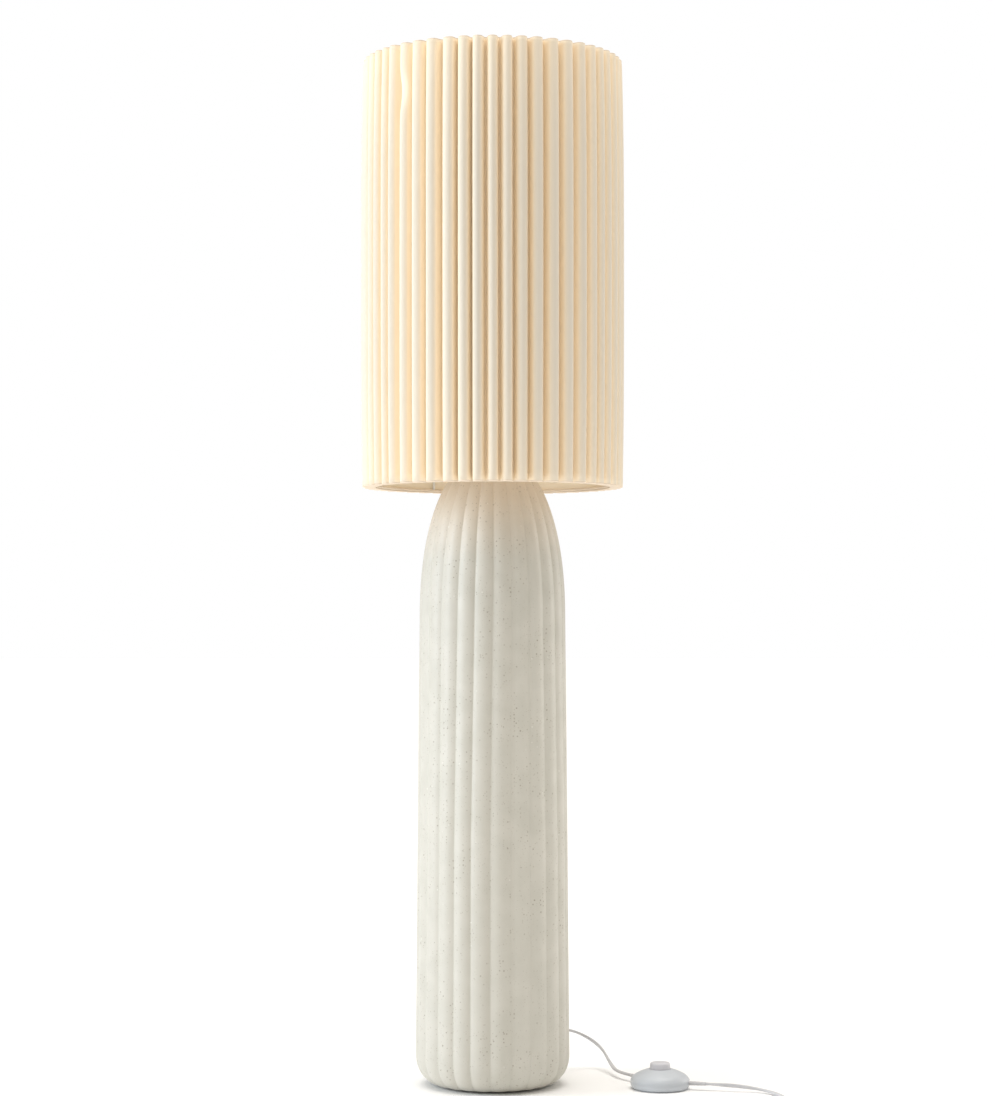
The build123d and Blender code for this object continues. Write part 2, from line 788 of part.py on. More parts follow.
parts = {
    "foot_pad": foot_pad(),
    "base_plate": base_plate(),
    "bottom_washer": washer(washer_z, washer_r, washer_t),
    "bottom_nut": hex_nut(nut_z, nut_h),
    "ceramic_body": ceramic_body(),
    "tie_tube": tie_tube(),
    "neck_gasket": neck_gasket(),
    "neck_cap": neck_cap(),
    "top_washer": washer(top_washer_z, top_washer_r, top_washer_t),
    "top_nut": hex_nut(top_nut_z, top_nut_h),
    "cord_grommet": cord_grommet(),
    "inner_cable": inner_cable(),
    "holder_base": holder_base(),
    "holder_insert": holder_insert(),
    "terminal_screws": terminal_screws(),
    "holder_contact": holder_contact(),
    "holder_shell": holder_shell(),
    "holder_skirt": holder_skirt(),
    "clamp_ring": clamp_ring(),
    "fitter_hub": fitter_hub(),
    "fitter_arm_right": fitter_arm(arm_azimuths[0]),
    "fitter_arm_back": fitter_arm(arm_azimuths[1]),
    "fitter_arm_front": fitter_arm(arm_azimuths[2]),
    "bottom_ring": wire_ring(low_ring_z),
    "top_ring": wire_ring(top_ring_z),
    "shade_liner": shade_liner(),
    "pleated_cover": pleated_cover(),
    "bottom_trim": trim_ring(shade_bottom_z),
    "top_trim": trim_ring(cover_top_z),
    "bulb_contact": bulb_contact(),
    "bulb_insulator": bulb_insulator(),
    "bulb_cap": bulb_cap(),
    "bulb_housing": bulb_housing(),
    "bulb_globe": bulb_globe(),
    "switch_base_shell": switch_base_shell(),
    "switch_top_shell": switch_top_shell(),
    "switch_button": switch_button(),
    "switch_module": switch_module(),
    "switch_screws": switch_screws(),
    "switch_relief_in": switch_relief(cord_in_azimuth),
    "switch_relief_out": switch_relief(cord_out_azimuth),
    "base_cord": base_cord(),
    "plug_cord": plug_cord(),
    "cord_coil": cord_coil(),
    "coil_tie": coil_tie(),
    "plug_lead": plug_lead(),
    "plug_relief": plug_relief(),
    "plug_body": plug_body(),
    "plug_pins": plug_pins(),
}

for name, shape in parts.items():
    export_step(shape, f"parts/{name}.step")
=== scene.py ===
import bpy
import bmesh
import math
import numpy as np
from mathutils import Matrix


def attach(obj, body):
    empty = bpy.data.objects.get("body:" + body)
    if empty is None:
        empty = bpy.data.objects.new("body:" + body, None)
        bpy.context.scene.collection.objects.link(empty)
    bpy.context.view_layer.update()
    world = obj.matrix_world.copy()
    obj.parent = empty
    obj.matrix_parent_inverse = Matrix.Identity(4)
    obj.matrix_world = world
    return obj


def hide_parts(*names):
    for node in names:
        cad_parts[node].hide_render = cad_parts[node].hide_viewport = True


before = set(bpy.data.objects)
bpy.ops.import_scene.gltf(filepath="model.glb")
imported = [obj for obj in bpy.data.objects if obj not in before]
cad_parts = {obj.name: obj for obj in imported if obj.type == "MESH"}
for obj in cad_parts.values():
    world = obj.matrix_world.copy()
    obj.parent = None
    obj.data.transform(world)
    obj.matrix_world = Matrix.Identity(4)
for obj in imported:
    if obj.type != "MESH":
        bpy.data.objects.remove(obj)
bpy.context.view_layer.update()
scene = bpy.context.scene
print("frame loaded:", len(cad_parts), "nodes")

# Pieces are given in millimetres, which become metres when a mesh is made. The camera, the lights, the routes
# of the cords and the patterns of the materials are in metres.
mm = 0.001


# Tools for objects and nodes

def setAll(thing, values):
    for key, value in values.items():
        setattr(thing, key, value)
    return thing


def addObject(name, data, spot=(0, 0, 0), turn=(0, 0, 0)):
    thing = bpy.data.objects.new(name, data)
    thing.location = spot
    thing.rotation_euler = turn
    scene.collection.objects.link(thing)
    return thing


def fill(tree, node, inputs):
    # sockets go by name, with _ for a space, or by number as in0; a value may be another node's output
    for key, value in inputs.items():
        index = int(key[2:]) if key.startswith("in") and key[2:].isdigit() else key.replace("_", " ")
        if isinstance(value, bpy.types.NodeSocket):
            tree.links.new(value, node.inputs[index])
        else:
            node.inputs[index].default_value = value
    return node


def put(tree, kind, settings=None, **inputs):
    return fill(tree, setAll(tree.nodes.new("ShaderNode" + kind), settings or {}), inputs)


# Camera and lights

cameraPlace = (0.0, -3.191, 0.5613)
cameraLook = {"sensor_width": 36.0, "lens": 85.57, "shift_x": 0.0044, "shift_y": 0.0707}
worldLook = {"backdrop": 1.0, "light": 0.50, "lightColour": (1.0, 0.96, 0.90)}
topPlace = (0, 0, 4)
topLook = {"angle": math.radians(50.0), "energy": 2.25, "color": (1.0, 0.965, 0.92)}
areaLights = {
    "keyLeft": {
        "spot": (-3.95, -0.75, 1.5), "aim": (0, 0, 0.80), "size": (1.5, 2.6),
        "watts": 104.0, "colour": (0.83, 0.92, 1.03)},
    "rimRight": {
        "spot": (3.4, 2.0, 1.0), "aim": (0, 0, 0.62), "size": (1.6, 2.6),
        "watts": 30.0, "colour": (1.0, 0.97, 0.93)},
}


def makeWorld():
    # the backdrop is plain white, and the light that it gives is softer than what the camera sees of it
    world = bpy.data.worlds.new("studio")
    scene.world = world
    world.use_nodes = True
    tree = world.node_tree
    tree.nodes.clear()
    seen = put(tree, "Background", Color=(1, 1, 1, 1), Strength=worldLook["backdrop"])
    given = put(tree, "Background", Color=(*worldLook["lightColour"], 1), Strength=worldLook["light"])
    toCamera = put(tree, "LightPath").outputs["Is Camera Ray"]
    both = put(tree, "MixShader", in0=toCamera, in1=given.outputs[0], in2=seen.outputs[0])
    put(tree, "OutputWorld", Surface=both.outputs[0])


def makeAreaLight(name, spot, aim, size, watts, colour):
    data = setAll(bpy.data.lights.new(name, "AREA"), {
        "shape": "RECTANGLE", "size": size[0], "size_y": size[1], "energy": watts, "color": colour})
    toward = np.subtract(aim, spot)
    down = math.atan2(math.hypot(toward[0], toward[1]), -toward[2])
    addObject(name, data, spot, (down, 0, math.atan2(toward[1], toward[0]) - math.pi / 2))


# the camera is level and looks along +Y, and the top light is wide, soft and straight above
camera = setAll(bpy.data.cameras.new("viewCamera"), cameraLook)
scene.camera = addObject("viewCamera", camera, cameraPlace, (math.radians(90), 0, 0))
makeWorld()
addObject("topSoft", setAll(bpy.data.lights.new("topSoft", "SUN"), topLook), topPlace)
for name, values in areaLights.items():
    makeAreaLight(name, **values)
scene.view_settings.view_transform = "Standard"
scene.view_settings.look = "None"
print("camera and lights set")


# Material tools

noiseRange = (0.3, 0.7)  # noise seldom leaves this range


def calc(tree, operation, a, b=0.0, clamp=False):
    return put(tree, "Math", {"operation": operation, "use_clamp": clamp}, in0=a, in1=b).outputs[0]


def makeGroup(name, inputs, outputs):
    # an input without a default is a vector; the others are numbers, and so are the outputs
    group = bpy.data.node_groups.new(name, "ShaderNodeTree")
    for label, default in inputs.items():
        kind = "NodeSocketVector" if default is None else "NodeSocketFloat"
        socket = group.interface.new_socket(label, in_out="INPUT", socket_type=kind)
        if default is not None:
            socket.default_value = default
    for label in outputs:
        group.interface.new_socket(label, in_out="OUTPUT", socket_type="NodeSocketFloat")
    return group, group.nodes.new("NodeGroupInput").outputs, group.nodes.new("NodeGroupOutput")


speckleShape = {"edge": 14.0, "least": 0.35}


def makeSpeckle():
    # one speck at most in each Voronoi cell: a cell keeps its speck where its random number is under Share
    inputs = {"Vector": None, "Cells": 200.0, "Share": 0.3, "Size": 0.2}
    group, given, out = makeGroup("speckle", inputs, ["Mask"])
    cells = put(
        group, "TexVoronoi", {"voronoi_dimensions": "3D"}, Vector=given["Vector"], Scale=given["Cells"])
    chance = put(group, "SeparateColor", Color=cells.outputs["Color"])
    kept = calc(group, "LESS_THAN", chance.outputs["Red"], given["Share"])
    swell = calc(group, "ADD", chance.outputs["Green"], speckleShape["least"])
    own = calc(group, "MULTIPLY", given["Size"], swell)
    inside = calc(group, "SUBTRACT", own, cells.outputs["Distance"])
    soft = calc(group, "MULTIPLY", inside, speckleShape["edge"], clamp=True)
    fill(group, out, {"Mask": calc(group, "MULTIPLY", soft, kept)})
    return group


def makeGrain():
    # fine and coarse noise added, for the height of a bump and the mottling of a colour
    inputs = {"Vector": None, "Fine": 900.0, "Coarse": 40.0, "Mix": 0.5}
    group, given, out = makeGroup("grain", inputs, ["Height", "Mottle"])
    fine = put(group, "TexNoise", Vector=given["Vector"], Scale=given["Fine"], Detail=3.0)
    coarse = put(group, "TexNoise", Vector=given["Vector"], Scale=given["Coarse"], Detail=2.0)
    both = put(group, "Mix", in0=given["Mix"], in2=fine.outputs[0], in3=coarse.outputs[0])
    fill(group, out, {"Height": both.outputs[0], "Mottle": coarse.outputs[0]})
    return group


slubStretch = (1400.0, 60.0, 1.0)  # slubs are long along the height of the cloth


def makeWeave():
    # plain weave from a UV in metres: two crossed sine waves, each thread over and under by turns, with slubs
    inputs = {"UV": None, "Threads": 1600.0, "Slub": 0.35}
    group, given, out = makeGroup("weave", inputs, ["Height", "Slubs"])
    split = put(group, "SeparateXYZ", Vector=given["UV"])
    turns = calc(group, "MULTIPLY", given["Threads"], math.pi)
    warp = calc(group, "SINE", calc(group, "MULTIPLY", split.outputs["X"], turns))
    weft = calc(group, "SINE", calc(group, "MULTIPLY", split.outputs["Y"], turns))
    stretched = put(group, "VectorMath", {"operation": "MULTIPLY"}, in0=given["UV"], in1=slubStretch)
    slubs = put(group, "TexNoise", Vector=stretched.outputs[0], Scale=1.0, Detail=2.0)
    raised = calc(group, "MULTIPLY", slubs.outputs[0], given["Slub"])
    height = calc(group, "ADD", calc(group, "MULTIPLY", warp, weft), raised)
    fill(group, out, {"Height": height, "Slubs": slubs.outputs[0]})
    return group


speckleGroup = makeSpeckle()
grainGroup = makeGrain()
weaveGroup = makeWeave()


def startMaterial(name, **values):
    material = bpy.data.materials.new(name)
    material.use_nodes = True
    shader = material.node_tree.nodes["Principled BSDF"]
    fill(material.node_tree, shader, values)
    return material, material.node_tree, shader


def objectCoords(tree):
    return put(tree, "TexCoord").outputs["Object"]


def useGroup(tree, group, **inputs):
    return put(tree, "Group", {"node_tree": group}, **inputs)


def mixColour(tree, factor, a, b):
    a, b = [value if isinstance(value, bpy.types.NodeSocket) else (*value, 1) for value in (a, b)]
    return put(tree, "Mix", {"data_type": "RGBA"}, in0=factor, in6=a, in7=b).outputs[2]


def ranged(tree, value, low, high, toLow=0.0, toHigh=1.0):
    return put(tree, "MapRange", in0=value, in1=low, in2=high, in3=toLow, in4=toHigh).outputs[0]


def dress(tree, shader, colour, noise, rough):
    # the roughness follows a noise
    fill(tree, shader, {"Base Color": colour, "Roughness": ranged(tree, noise, *noiseRange, *rough)})


def addBump(tree, shader, height, strength, distance, **before):
    bump = put(tree, "Bump", Strength=strength, Distance=distance, Height=height, **before).outputs[0]
    tree.links.new(bump, shader.inputs["Normal"])
    return bump


# Materials

grainLook = {"mix": 0.25, "deep": 0.0003}


def grainedMaterial(name, light, dark, rough, fine, coarse, bump, **values):
    # moulded plastic, paint and card: two near colours mottled, roughness that varies a little, fine bump
    material, tree, shader = startMaterial(name, **values)
    grain = useGroup(
        tree, grainGroup, Vector=objectCoords(tree), Fine=fine, Coarse=coarse, Mix=grainLook["mix"])
    mottle = ranged(tree, grain.outputs["Mottle"], *noiseRange)
    dress(tree, shader, mixColour(tree, mottle, light, dark), grain.outputs["Height"], rough)
    addBump(tree, shader, grain.outputs["Height"], bump, grainLook["deep"])
    return material


# each bump is (strength, distance); most is the part of a colour that a mask lets through at most
glazeLook = {
    "light": (0.622, 0.600, 0.530), "cool": (0.578, 0.560, 0.490), "mottleRange": (0.32, 0.68),
    # painted bounce light: the neck colour is a warm tint on the glaze near its top, under the shade, for
    # light bounced off the shade's inside
    "neck": (0.700, 0.580, 0.452), "neckRange": (0.64, 0.73), "neckMost": 0.7,
    "patches": 22.0, "patchRange": (0.38, 0.62), "crowd": (0.25, 1.0),
    "speck": {
        "colour": (0.26, 0.21, 0.15), "most": 0.62,
        "dots": {"Cells": 250.0, "Share": 0.50, "Size": 0.225}},
    "fine": {
        "colour": (0.32, 0.27, 0.20), "most": 0.40,
        "dots": {"Cells": 400.0, "Share": 0.50, "Size": 0.26}},
    "pit": {
        "colour": (0.92, 0.90, 0.84), "most": 0.35,
        "dots": {"Cells": 150.0, "Share": 0.10, "Size": 0.16}},
    "roughness": (0.44, 0.58), "waveBump": (0.25, 0.0006), "grainBump": (0.22, 0.0004), "pitDeep": 1.6,
}


def makeGlaze():
    look = glazeLook
    material, tree, shader = startMaterial(
        "specklyGlaze", Specular_IOR_Level=0.45, Coat_Weight=0.12, Coat_Roughness=0.35)
    coords = objectCoords(tree)
    grain = useGroup(tree, grainGroup, Vector=coords, Fine=650.0, Coarse=34.0, Mix=0.45)
    mottle = ranged(tree, grain.outputs["Mottle"], *look["mottleRange"])
    height = put(tree, "SeparateXYZ", Vector=coords).outputs["Z"]
    # painted bounce light: the glaze turns warm toward the neck, as light bounced off the shade's inside
    # would make it look
    paintedBounce = ranged(tree, height, *look["neckRange"], 0.0, look["neckMost"])
    colour = mixColour(tree, paintedBounce, mixColour(tree, mottle, look["light"], look["cool"]), look["neck"])
    patches = put(tree, "TexNoise", Vector=coords, Scale=look["patches"], Detail=2.0)
    # specks come in loose crowds
    crowd = ranged(tree, patches.outputs[0], *look["patchRange"], *look["crowd"])
    for kind in (look["speck"], look["fine"]):
        dots = useGroup(tree, speckleGroup, Vector=coords, **kind["dots"]).outputs[0]
        mask = calc(tree, "MULTIPLY", dots, calc(tree, "MULTIPLY", crowd, kind["most"]))
        colour = mixColour(tree, mask, colour, kind["colour"])
    pits = useGroup(tree, speckleGroup, Vector=coords, **look["pit"]["dots"]).outputs[0]
    colour = mixColour(tree, calc(tree, "MULTIPLY", pits, look["pit"]["most"]), colour, look["pit"]["colour"])
    dress(tree, shader, colour, grain.outputs["Height"], look["roughness"])
    soft = addBump(tree, shader, patches.outputs[0], *look["waveBump"])
    pitted = calc(tree, "SUBTRACT", grain.outputs["Height"], calc(tree, "MULTIPLY", pits, look["pitDeep"]))
    addBump(tree, shader, pitted, *look["grainBump"], Normal=soft)
    return material


clothLook = {
    # crest and valley are painted light as much as the cloth's cream: the crest darker, the valley a
    # brighter, warmer painted glow
    "crest": (0.700, 0.648, 0.556), "valley": (0.980, 0.840, 0.640), "glowFoldRadii": (0.1562, 0.1614),
    "threads": 1500.0, "slub": 0.5, "slubTint": (0.70, 0.56, 0.38), "slubRange": (0.35, 0.75),
    "slubMost": 0.10, "roughness": (0.78, 0.92), "bump": (0.25, 0.00012),
}


def makePleatCloth():
    # colour by the distance from the lamp's axis, as painted light: pale crests darker than the cloth,
    # against the key light, and deeper, warmer, brighter folds, a painted glow for light through the cloth
    # and between the pleats
    look = clothLook
    material, tree, shader = startMaterial(
        "pleatCloth", Roughness=0.85, Specular_IOR_Level=0.2, Sheen_Weight=0.12, Sheen_Roughness=0.5)
    split = put(tree, "SeparateXYZ", Vector=objectCoords(tree))
    squares = [calc(tree, "POWER", split.outputs[side], 2.0) for side in "XY"]
    reach = calc(tree, "SQRT", calc(tree, "ADD", *squares))
    colour = mixColour(tree, ranged(tree, reach, *look["glowFoldRadii"]), look["valley"], look["crest"])
    uv = put(tree, "UVMap", {"uv_map": "cloth"}).outputs[0]
    weave = useGroup(tree, weaveGroup, UV=uv, Threads=look["threads"], Slub=look["slub"])
    slubs = ranged(tree, weave.outputs["Slubs"], *look["slubRange"], 0.0, look["slubMost"])
    colour = mixColour(tree, slubs, colour, look["slubTint"])
    dress(tree, shader, colour, weave.outputs["Slubs"], look["roughness"])
    addBump(tree, shader, weave.outputs["Height"], *look["bump"])
    return material


steelLook = {
    "grain": {"Fine": 1500.0, "Coarse": 120.0, "Mix": 0.5}, "roughness": (0.24, 0.42), "bump": 0.3,
    "threadDeep": 2.0,
}


def makeSteel(name, light, dark, threadPitch=None):
    # brushed or plated metal; a pitch adds screw threads as bands of bump along Z
    look = steelLook
    material, tree, shader = startMaterial(name, Metallic=1.0)
    coords = objectCoords(tree)
    grain = useGroup(tree, grainGroup, Vector=coords, **look["grain"])
    mottle = ranged(tree, grain.outputs["Mottle"], *noiseRange)
    dress(tree, shader, mixColour(tree, mottle, light, dark), grain.outputs["Height"], look["roughness"])
    height = grain.outputs["Height"]
    if threadPitch:
        along = put(tree, "SeparateXYZ", Vector=coords).outputs["Z"]
        wave = calc(tree, "SINE", calc(tree, "MULTIPLY", along, 2 * math.pi / threadPitch))
        height = calc(tree, "ADD", calc(tree, "MULTIPLY", wave, look["threadDeep"]), height)
    addBump(tree, shader, height, look["bump"], grainLook["deep"])
    return material


feltLook = {
    "dark": (0.05, 0.05, 0.052), "light": (0.16, 0.155, 0.15), "roughness": (0.88, 0.98),
    "bump": (0.6, 0.0006), "hairs": {"Scale": 900.0, "Detail": 5.0, "Distortion": 1.2},
}


def makeFelt():
    material, tree, shader = startMaterial("padFelt", Specular_IOR_Level=0.1, Sheen_Weight=0.4)
    hairs = put(tree, "TexNoise", Vector=objectCoords(tree), **feltLook["hairs"]).outputs[0]
    colour = mixColour(tree, hairs, feltLook["dark"], feltLook["light"])
    dress(tree, shader, colour, hairs, feltLook["roughness"])
    addBump(tree, shader, hairs, *feltLook["bump"])
    return material


# finish: (material, light colour, dark colour, roughness, fine grain, coarse grain, bump)
grainedFinishes = {
    "bisque": ("bareStoneware", (0.62, 0.55, 0.45), (0.52, 0.46, 0.37), (0.82, 0.92), 1100.0, 60.0, 0.5),
    "rubber": ("darkRubber", (0.030, 0.030, 0.031), (0.018, 0.018, 0.019), (0.6, 0.8), 700.0, 80.0, 0.3),
    "whiteMetal": (
        "whitePowderCoat", (0.83, 0.82, 0.79), (0.78, 0.77, 0.74), (0.38, 0.55), 1300.0, 90.0, 0.35),
    "holder": ("holderPlastic", (0.84, 0.83, 0.80), (0.80, 0.79, 0.76), (0.25, 0.38), 900.0, 50.0, 0.12),
    "porcelain": ("holderPorcelain", (0.86, 0.85, 0.82), (0.80, 0.79, 0.76), (0.12, 0.22), 500.0, 60.0, 0.1),
    "edgeCard": ("edgeTape", (0.80, 0.68, 0.54), (0.76, 0.64, 0.50), (0.7, 0.85), 1200.0, 70.0, 0.3),
    "lining": ("smoothLining", (0.94, 0.83, 0.66), (0.90, 0.79, 0.61), (0.45, 0.6), 900.0, 30.0, 0.15),
    "blackPlastic": ("blackPlastic", (0.03, 0.03, 0.032), (0.02, 0.02, 0.022), (0.3, 0.5), 900.0, 70.0, 0.2),
    "bulbPlastic": ("bulbPlastic", (0.88, 0.88, 0.86), (0.84, 0.84, 0.82), (0.32, 0.45), 900.0, 60.0, 0.12),
    "switch": ("switchPlastic", (0.56, 0.592, 0.628), (0.53, 0.562, 0.598), (0.34, 0.48), 1100.0, 45.0, 0.18),
    "button": ("buttonPlastic", (0.655, 0.652, 0.69), (0.625, 0.622, 0.66), (0.34, 0.48), 1100.0, 45.0, 0.18),
    "flex": ("flatFlex", (0.58, 0.58, 0.595), (0.53, 0.53, 0.545), (0.42, 0.56), 900.0, 70.0, 0.2),
    "plug": ("plugPlastic", (0.66, 0.67, 0.67), (0.61, 0.62, 0.62), (0.38, 0.52), 1000.0, 60.0, 0.2),
    "tie": ("strapRubber", (0.75, 0.75, 0.74), (0.68, 0.68, 0.67), (0.55, 0.7), 800.0, 90.0, 0.3),
    "floor": ("paleFloor", (0.95, 0.95, 0.95), (0.945, 0.945, 0.945), (0.75, 0.85), 60.0, 3.0, 0.02),
}
finishes = {finish: grainedMaterial(*values) for finish, values in grainedFinishes.items()}
finishes["opalGlobe"] = grainedMaterial(
    "opalGlobe", (0.93, 0.92, 0.89), (0.90, 0.89, 0.86), (0.22, 0.34), 400.0, 30.0, 0.05,
    Subsurface_Weight=0.15, Subsurface_Radius=(0.01, 0.01, 0.008))
finishes["steel"] = makeSteel("zincPlate", (0.62, 0.63, 0.64), (0.50, 0.51, 0.52))
finishes["thread"] = makeSteel("threadedSteel", (0.60, 0.61, 0.62), (0.46, 0.47, 0.48), threadPitch=0.001)
finishes["nickel"] = makeSteel("nickelPlate", (0.72, 0.70, 0.66), (0.60, 0.58, 0.55))
finishes["brass"] = makeSteel("plainBrass", (0.78, 0.60, 0.30), (0.66, 0.48, 0.22))
finishes["glaze"] = makeGlaze()
finishes["felt"] = makeFelt()
finishes["pleatCloth"] = makePleatCloth()
print("materials made:", len(finishes))


# Mesh tools

roundShare = 0.32  # a round takes this much of an edge at most
edgeReach = 1.4  # how far beyond a round its extra point lies, which keeps the shading flat on the faces
mergeReach = 1e-7


def softCorners(points, cut, closed=True, steps=4):
    # each corner becomes the short curve (1-t)^2 a + 2t(1-t) p + t^2 b, with one more point beyond each end
    p = np.asarray(points, float)
    before, after = np.roll(p, 1, 0) - p, np.roll(p, -1, 0) - p
    lengthBefore = np.linalg.norm(before, axis=1, keepdims=True)
    lengthAfter = np.linalg.norm(after, axis=1, keepdims=True)
    cut = np.broadcast_to(np.asarray(cut, float).reshape(-1, 1), (len(p), 1))
    toA = before / lengthBefore * np.minimum(cut, roundShare * lengthBefore)
    toB = after / lengthAfter * np.minimum(cut, roundShare * lengthAfter)
    t = np.linspace(0, 1, steps + 1)[None, :, None]
    curve = (1 - t) ** 2 * (p + toA)[:, None] + 2 * t * (1 - t) * p[:, None] + t ** 2 * (p + toB)[:, None]
    rows = np.concatenate([(p + edgeReach * toA)[:, None], curve, (p + edgeReach * toB)[:, None]], axis=1)
    if closed:
        return rows.reshape(-1, p.shape[1])
    return np.concatenate([p[:1], rows[1:-1].reshape(-1, p.shape[1]), p[-1:]])


def walkedLength(points):
    # the length of the line up to each of its points
    return np.concatenate([[0], np.cumsum(np.linalg.norm(np.diff(points, axis=0), axis=1))])


def finer(points, step, closed=False, shortest=1e-4):
    # more points along the same line, at most step apart
    p = np.concatenate([points, points[:1]]) if closed else points
    walked = walkedLength(p)
    s = np.union1d(walked, np.arange(0, walked[-1], step))
    s = s[np.concatenate([[True], np.diff(s) > shortest])]
    out = np.stack([np.interp(s, walked, p[:, k]) for k in range(p.shape[1])], axis=1)
    return out[:-1] if closed else out


def gridMesh(name, grid, materials, loop=False, rowSlots=None, uv=None):
    # joins neighbours of a (rows, columns) grid of points into four-sided faces, the last column to the first
    # and, with loop, the last row to the first; coincident points are merged
    rows, columns = grid.shape[:2]
    r = np.arange(rows if loop else rows - 1)[:, None]
    c = np.arange(columns)[None, :]
    r1, c1 = (r + 1) % rows, (c + 1) % columns
    corners = [r * columns + c, r * columns + c1, r1 * columns + c1, r1 * columns + c]
    faces = np.stack([np.broadcast_to(x, (len(r), columns)) for x in corners], axis=-1).reshape(-1, 4)
    mesh = bpy.data.meshes.new(name)
    mesh.from_pydata((grid.reshape(-1, 3) * mm).tolist(), [], faces.tolist())
    if uv is not None:
        wide = uv.shape[1]
        turns = [r * wide + c, r * wide + c + 1, (r + 1) * wide + c + 1, (r + 1) * wide + c]
        index = np.stack([np.broadcast_to(x, (len(r), columns)) for x in turns], axis=-1).reshape(-1)
        layer = mesh.uv_layers.new(name="cloth")
        layer.data.foreach_set("uv", uv.reshape(-1, 2)[index].astype(np.float32).reshape(-1))
    for material in materials if isinstance(materials, list) else [materials]:
        mesh.materials.append(material)
    if rowSlots is not None:
        slots = np.repeat(np.asarray(rowSlots, np.int32)[:len(r)], columns)
        mesh.polygons.foreach_set("material_index", slots)
    shape = bmesh.new()
    shape.from_mesh(mesh)
    bmesh.ops.remove_doubles(shape, verts=shape.verts, dist=mergeReach)
    bmesh.ops.recalc_face_normals(shape, faces=shape.faces)
    shape.to_mesh(mesh)
    shape.free()
    mesh.polygons.foreach_set("use_smooth", np.ones(len(mesh.polygons), bool))
    return addObject(name, mesh)


def turned(name, profile, material, cut=0.5, sides=96, origin=(0, 0, 0), axis=(0, 0, 1), step=0, ripple=None):
    # a lathe shape: (r cos a, r sin a, h) about the axis; ripple changes r from r, h and the angle a
    profile = np.asarray(profile, float)
    closed = not (profile[0, 0] == 0 and profile[-1, 0] == 0)
    line = softCorners(profile, cut, closed) if np.max(cut) > 0 else profile
    if step:
        line = finer(line, step, closed)
    radius, height = line[:, 0][:, None], line[:, 1][:, None]
    angle = np.linspace(0, 2 * np.pi, sides, endpoint=False)[None, :]
    r = np.broadcast_to(radius, (len(line), sides))
    if ripple:
        r = np.broadcast_to(ripple(radius, height, angle), r.shape)
    up = np.asarray(axis, float) / np.linalg.norm(axis)
    side = np.cross((0, 0, 1.0), up) if abs(up[2]) < 0.9 else np.array((1.0, 0, 0))
    side = side / np.linalg.norm(side)
    third = np.cross(up, side)
    grid = (r * np.cos(angle))[..., None] * side + (r * np.sin(angle))[..., None] * third
    grid = grid + (height + 0 * r)[..., None] * up
    return gridMesh(name, grid + np.asarray(origin, float), material, loop=closed)


def swept(name, path, outline, material, grow=None, twist=None):
    # carries a flat outline along a path and closes both ends: sideways is the path's direction crossed with
    # Z, grow scales the outline and twist turns it
    path = np.asarray(path, float)
    along = np.gradient(path, axis=0)
    along /= np.linalg.norm(along, axis=1, keepdims=True)
    side = np.cross(along, (0, 0, 1.0))
    side /= np.linalg.norm(side, axis=1, keepdims=True)
    rise = np.cross(side, along)
    turn = np.radians(np.zeros(len(path)) if twist is None else twist)[:, None]
    outline = np.asarray(outline, float)[None]
    scale = np.ones((len(path), 1, 2)) if grow is None else np.asarray(grow, float).reshape(len(path), 1, -1)
    x, y = (outline * scale)[..., 0], (outline * scale)[..., 1]
    across, high = x * np.cos(turn) - y * np.sin(turn), x * np.sin(turn) + y * np.cos(turn)
    grid = path[:, None] + across[..., None] * side[:, None] + high[..., None] * rise[:, None]
    first, last = [np.broadcast_to(path[end], grid[:1].shape) for end in (0, -1)]
    return gridMesh(name, np.concatenate([first, grid, last]), material)


def pointing(degrees):
    # the level direction at this angle, from +X toward +Y
    return np.array((math.cos(math.radians(degrees)), math.sin(math.radians(degrees)), 0))


def roundLine(radius, points=16):
    a = np.linspace(0, 2 * np.pi, points, endpoint=False)
    return np.stack([radius * np.cos(a), radius * np.sin(a)], axis=1)


def stadium(width, height, points=24):
    # a flat oval: two half circles joined by straight sides
    a = np.linspace(0, 2 * np.pi, points, endpoint=False) + np.pi / points
    half = height / 2
    return np.stack([half * np.cos(a) + np.sign(np.cos(a)) * (width / 2 - half), half * np.sin(a)], axis=1)


def place(piece, body, slot, *nodes):
    # a piece stands for the CAD nodes named, or else for the one with its own name, if there is one
    own = "".join("_" + letter.lower() if letter.isupper() else letter for letter in piece.name)
    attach(piece, body)
    nodes = nodes or [node for node in [own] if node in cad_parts]
    if nodes:
        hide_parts(*nodes)
    return piece


def turnAll(body, pieces):
    # name: (finish, slot, profile as (radius, height), what else turned is told)
    for name, (finish, slot, profile, values) in pieces.items():
        place(turned(name, profile, finishes[finish], **values), body, slot)


# Cords, first of all: their routes are the control points of the CAD cords, in metres

cordLook = {
    "width": 5.4, "height": 3.2, "coilCentre": (0.3125, -0.240), "coilLevels": (0.0036, 0.0096),
    "coilStep": 30, "coilRadii": (0.036, 0.033, 0.030, 0.027, 0.030, 0.033, 0.036), "coilClimb": 3,
}
baseRoute = [
    (0.07274, 0.08823, 0.052), (0.09436, 0.11447, 0.052), (0.136, 0.119, 0.030), (0.149, 0.066, 0.0105),
    (0.15496, 0.03660, 0.008), (0.17102, 0.01367, 0.008)]
leadRoute = [
    (0.25685, -0.04643, 0.008), (0.28969, -0.05523, 0.008), (0.329, -0.061, 0.0029), (0.347, -0.108, 0.0028),
    (0.3485, -0.172, 0.0036), (0.3485, -0.2346, 0.0036)]
plugRoute = [(0.2705, -0.2346, 0.0096), (0.2705, -0.176, 0.0096), (0.210, -0.176, 0.00685)]

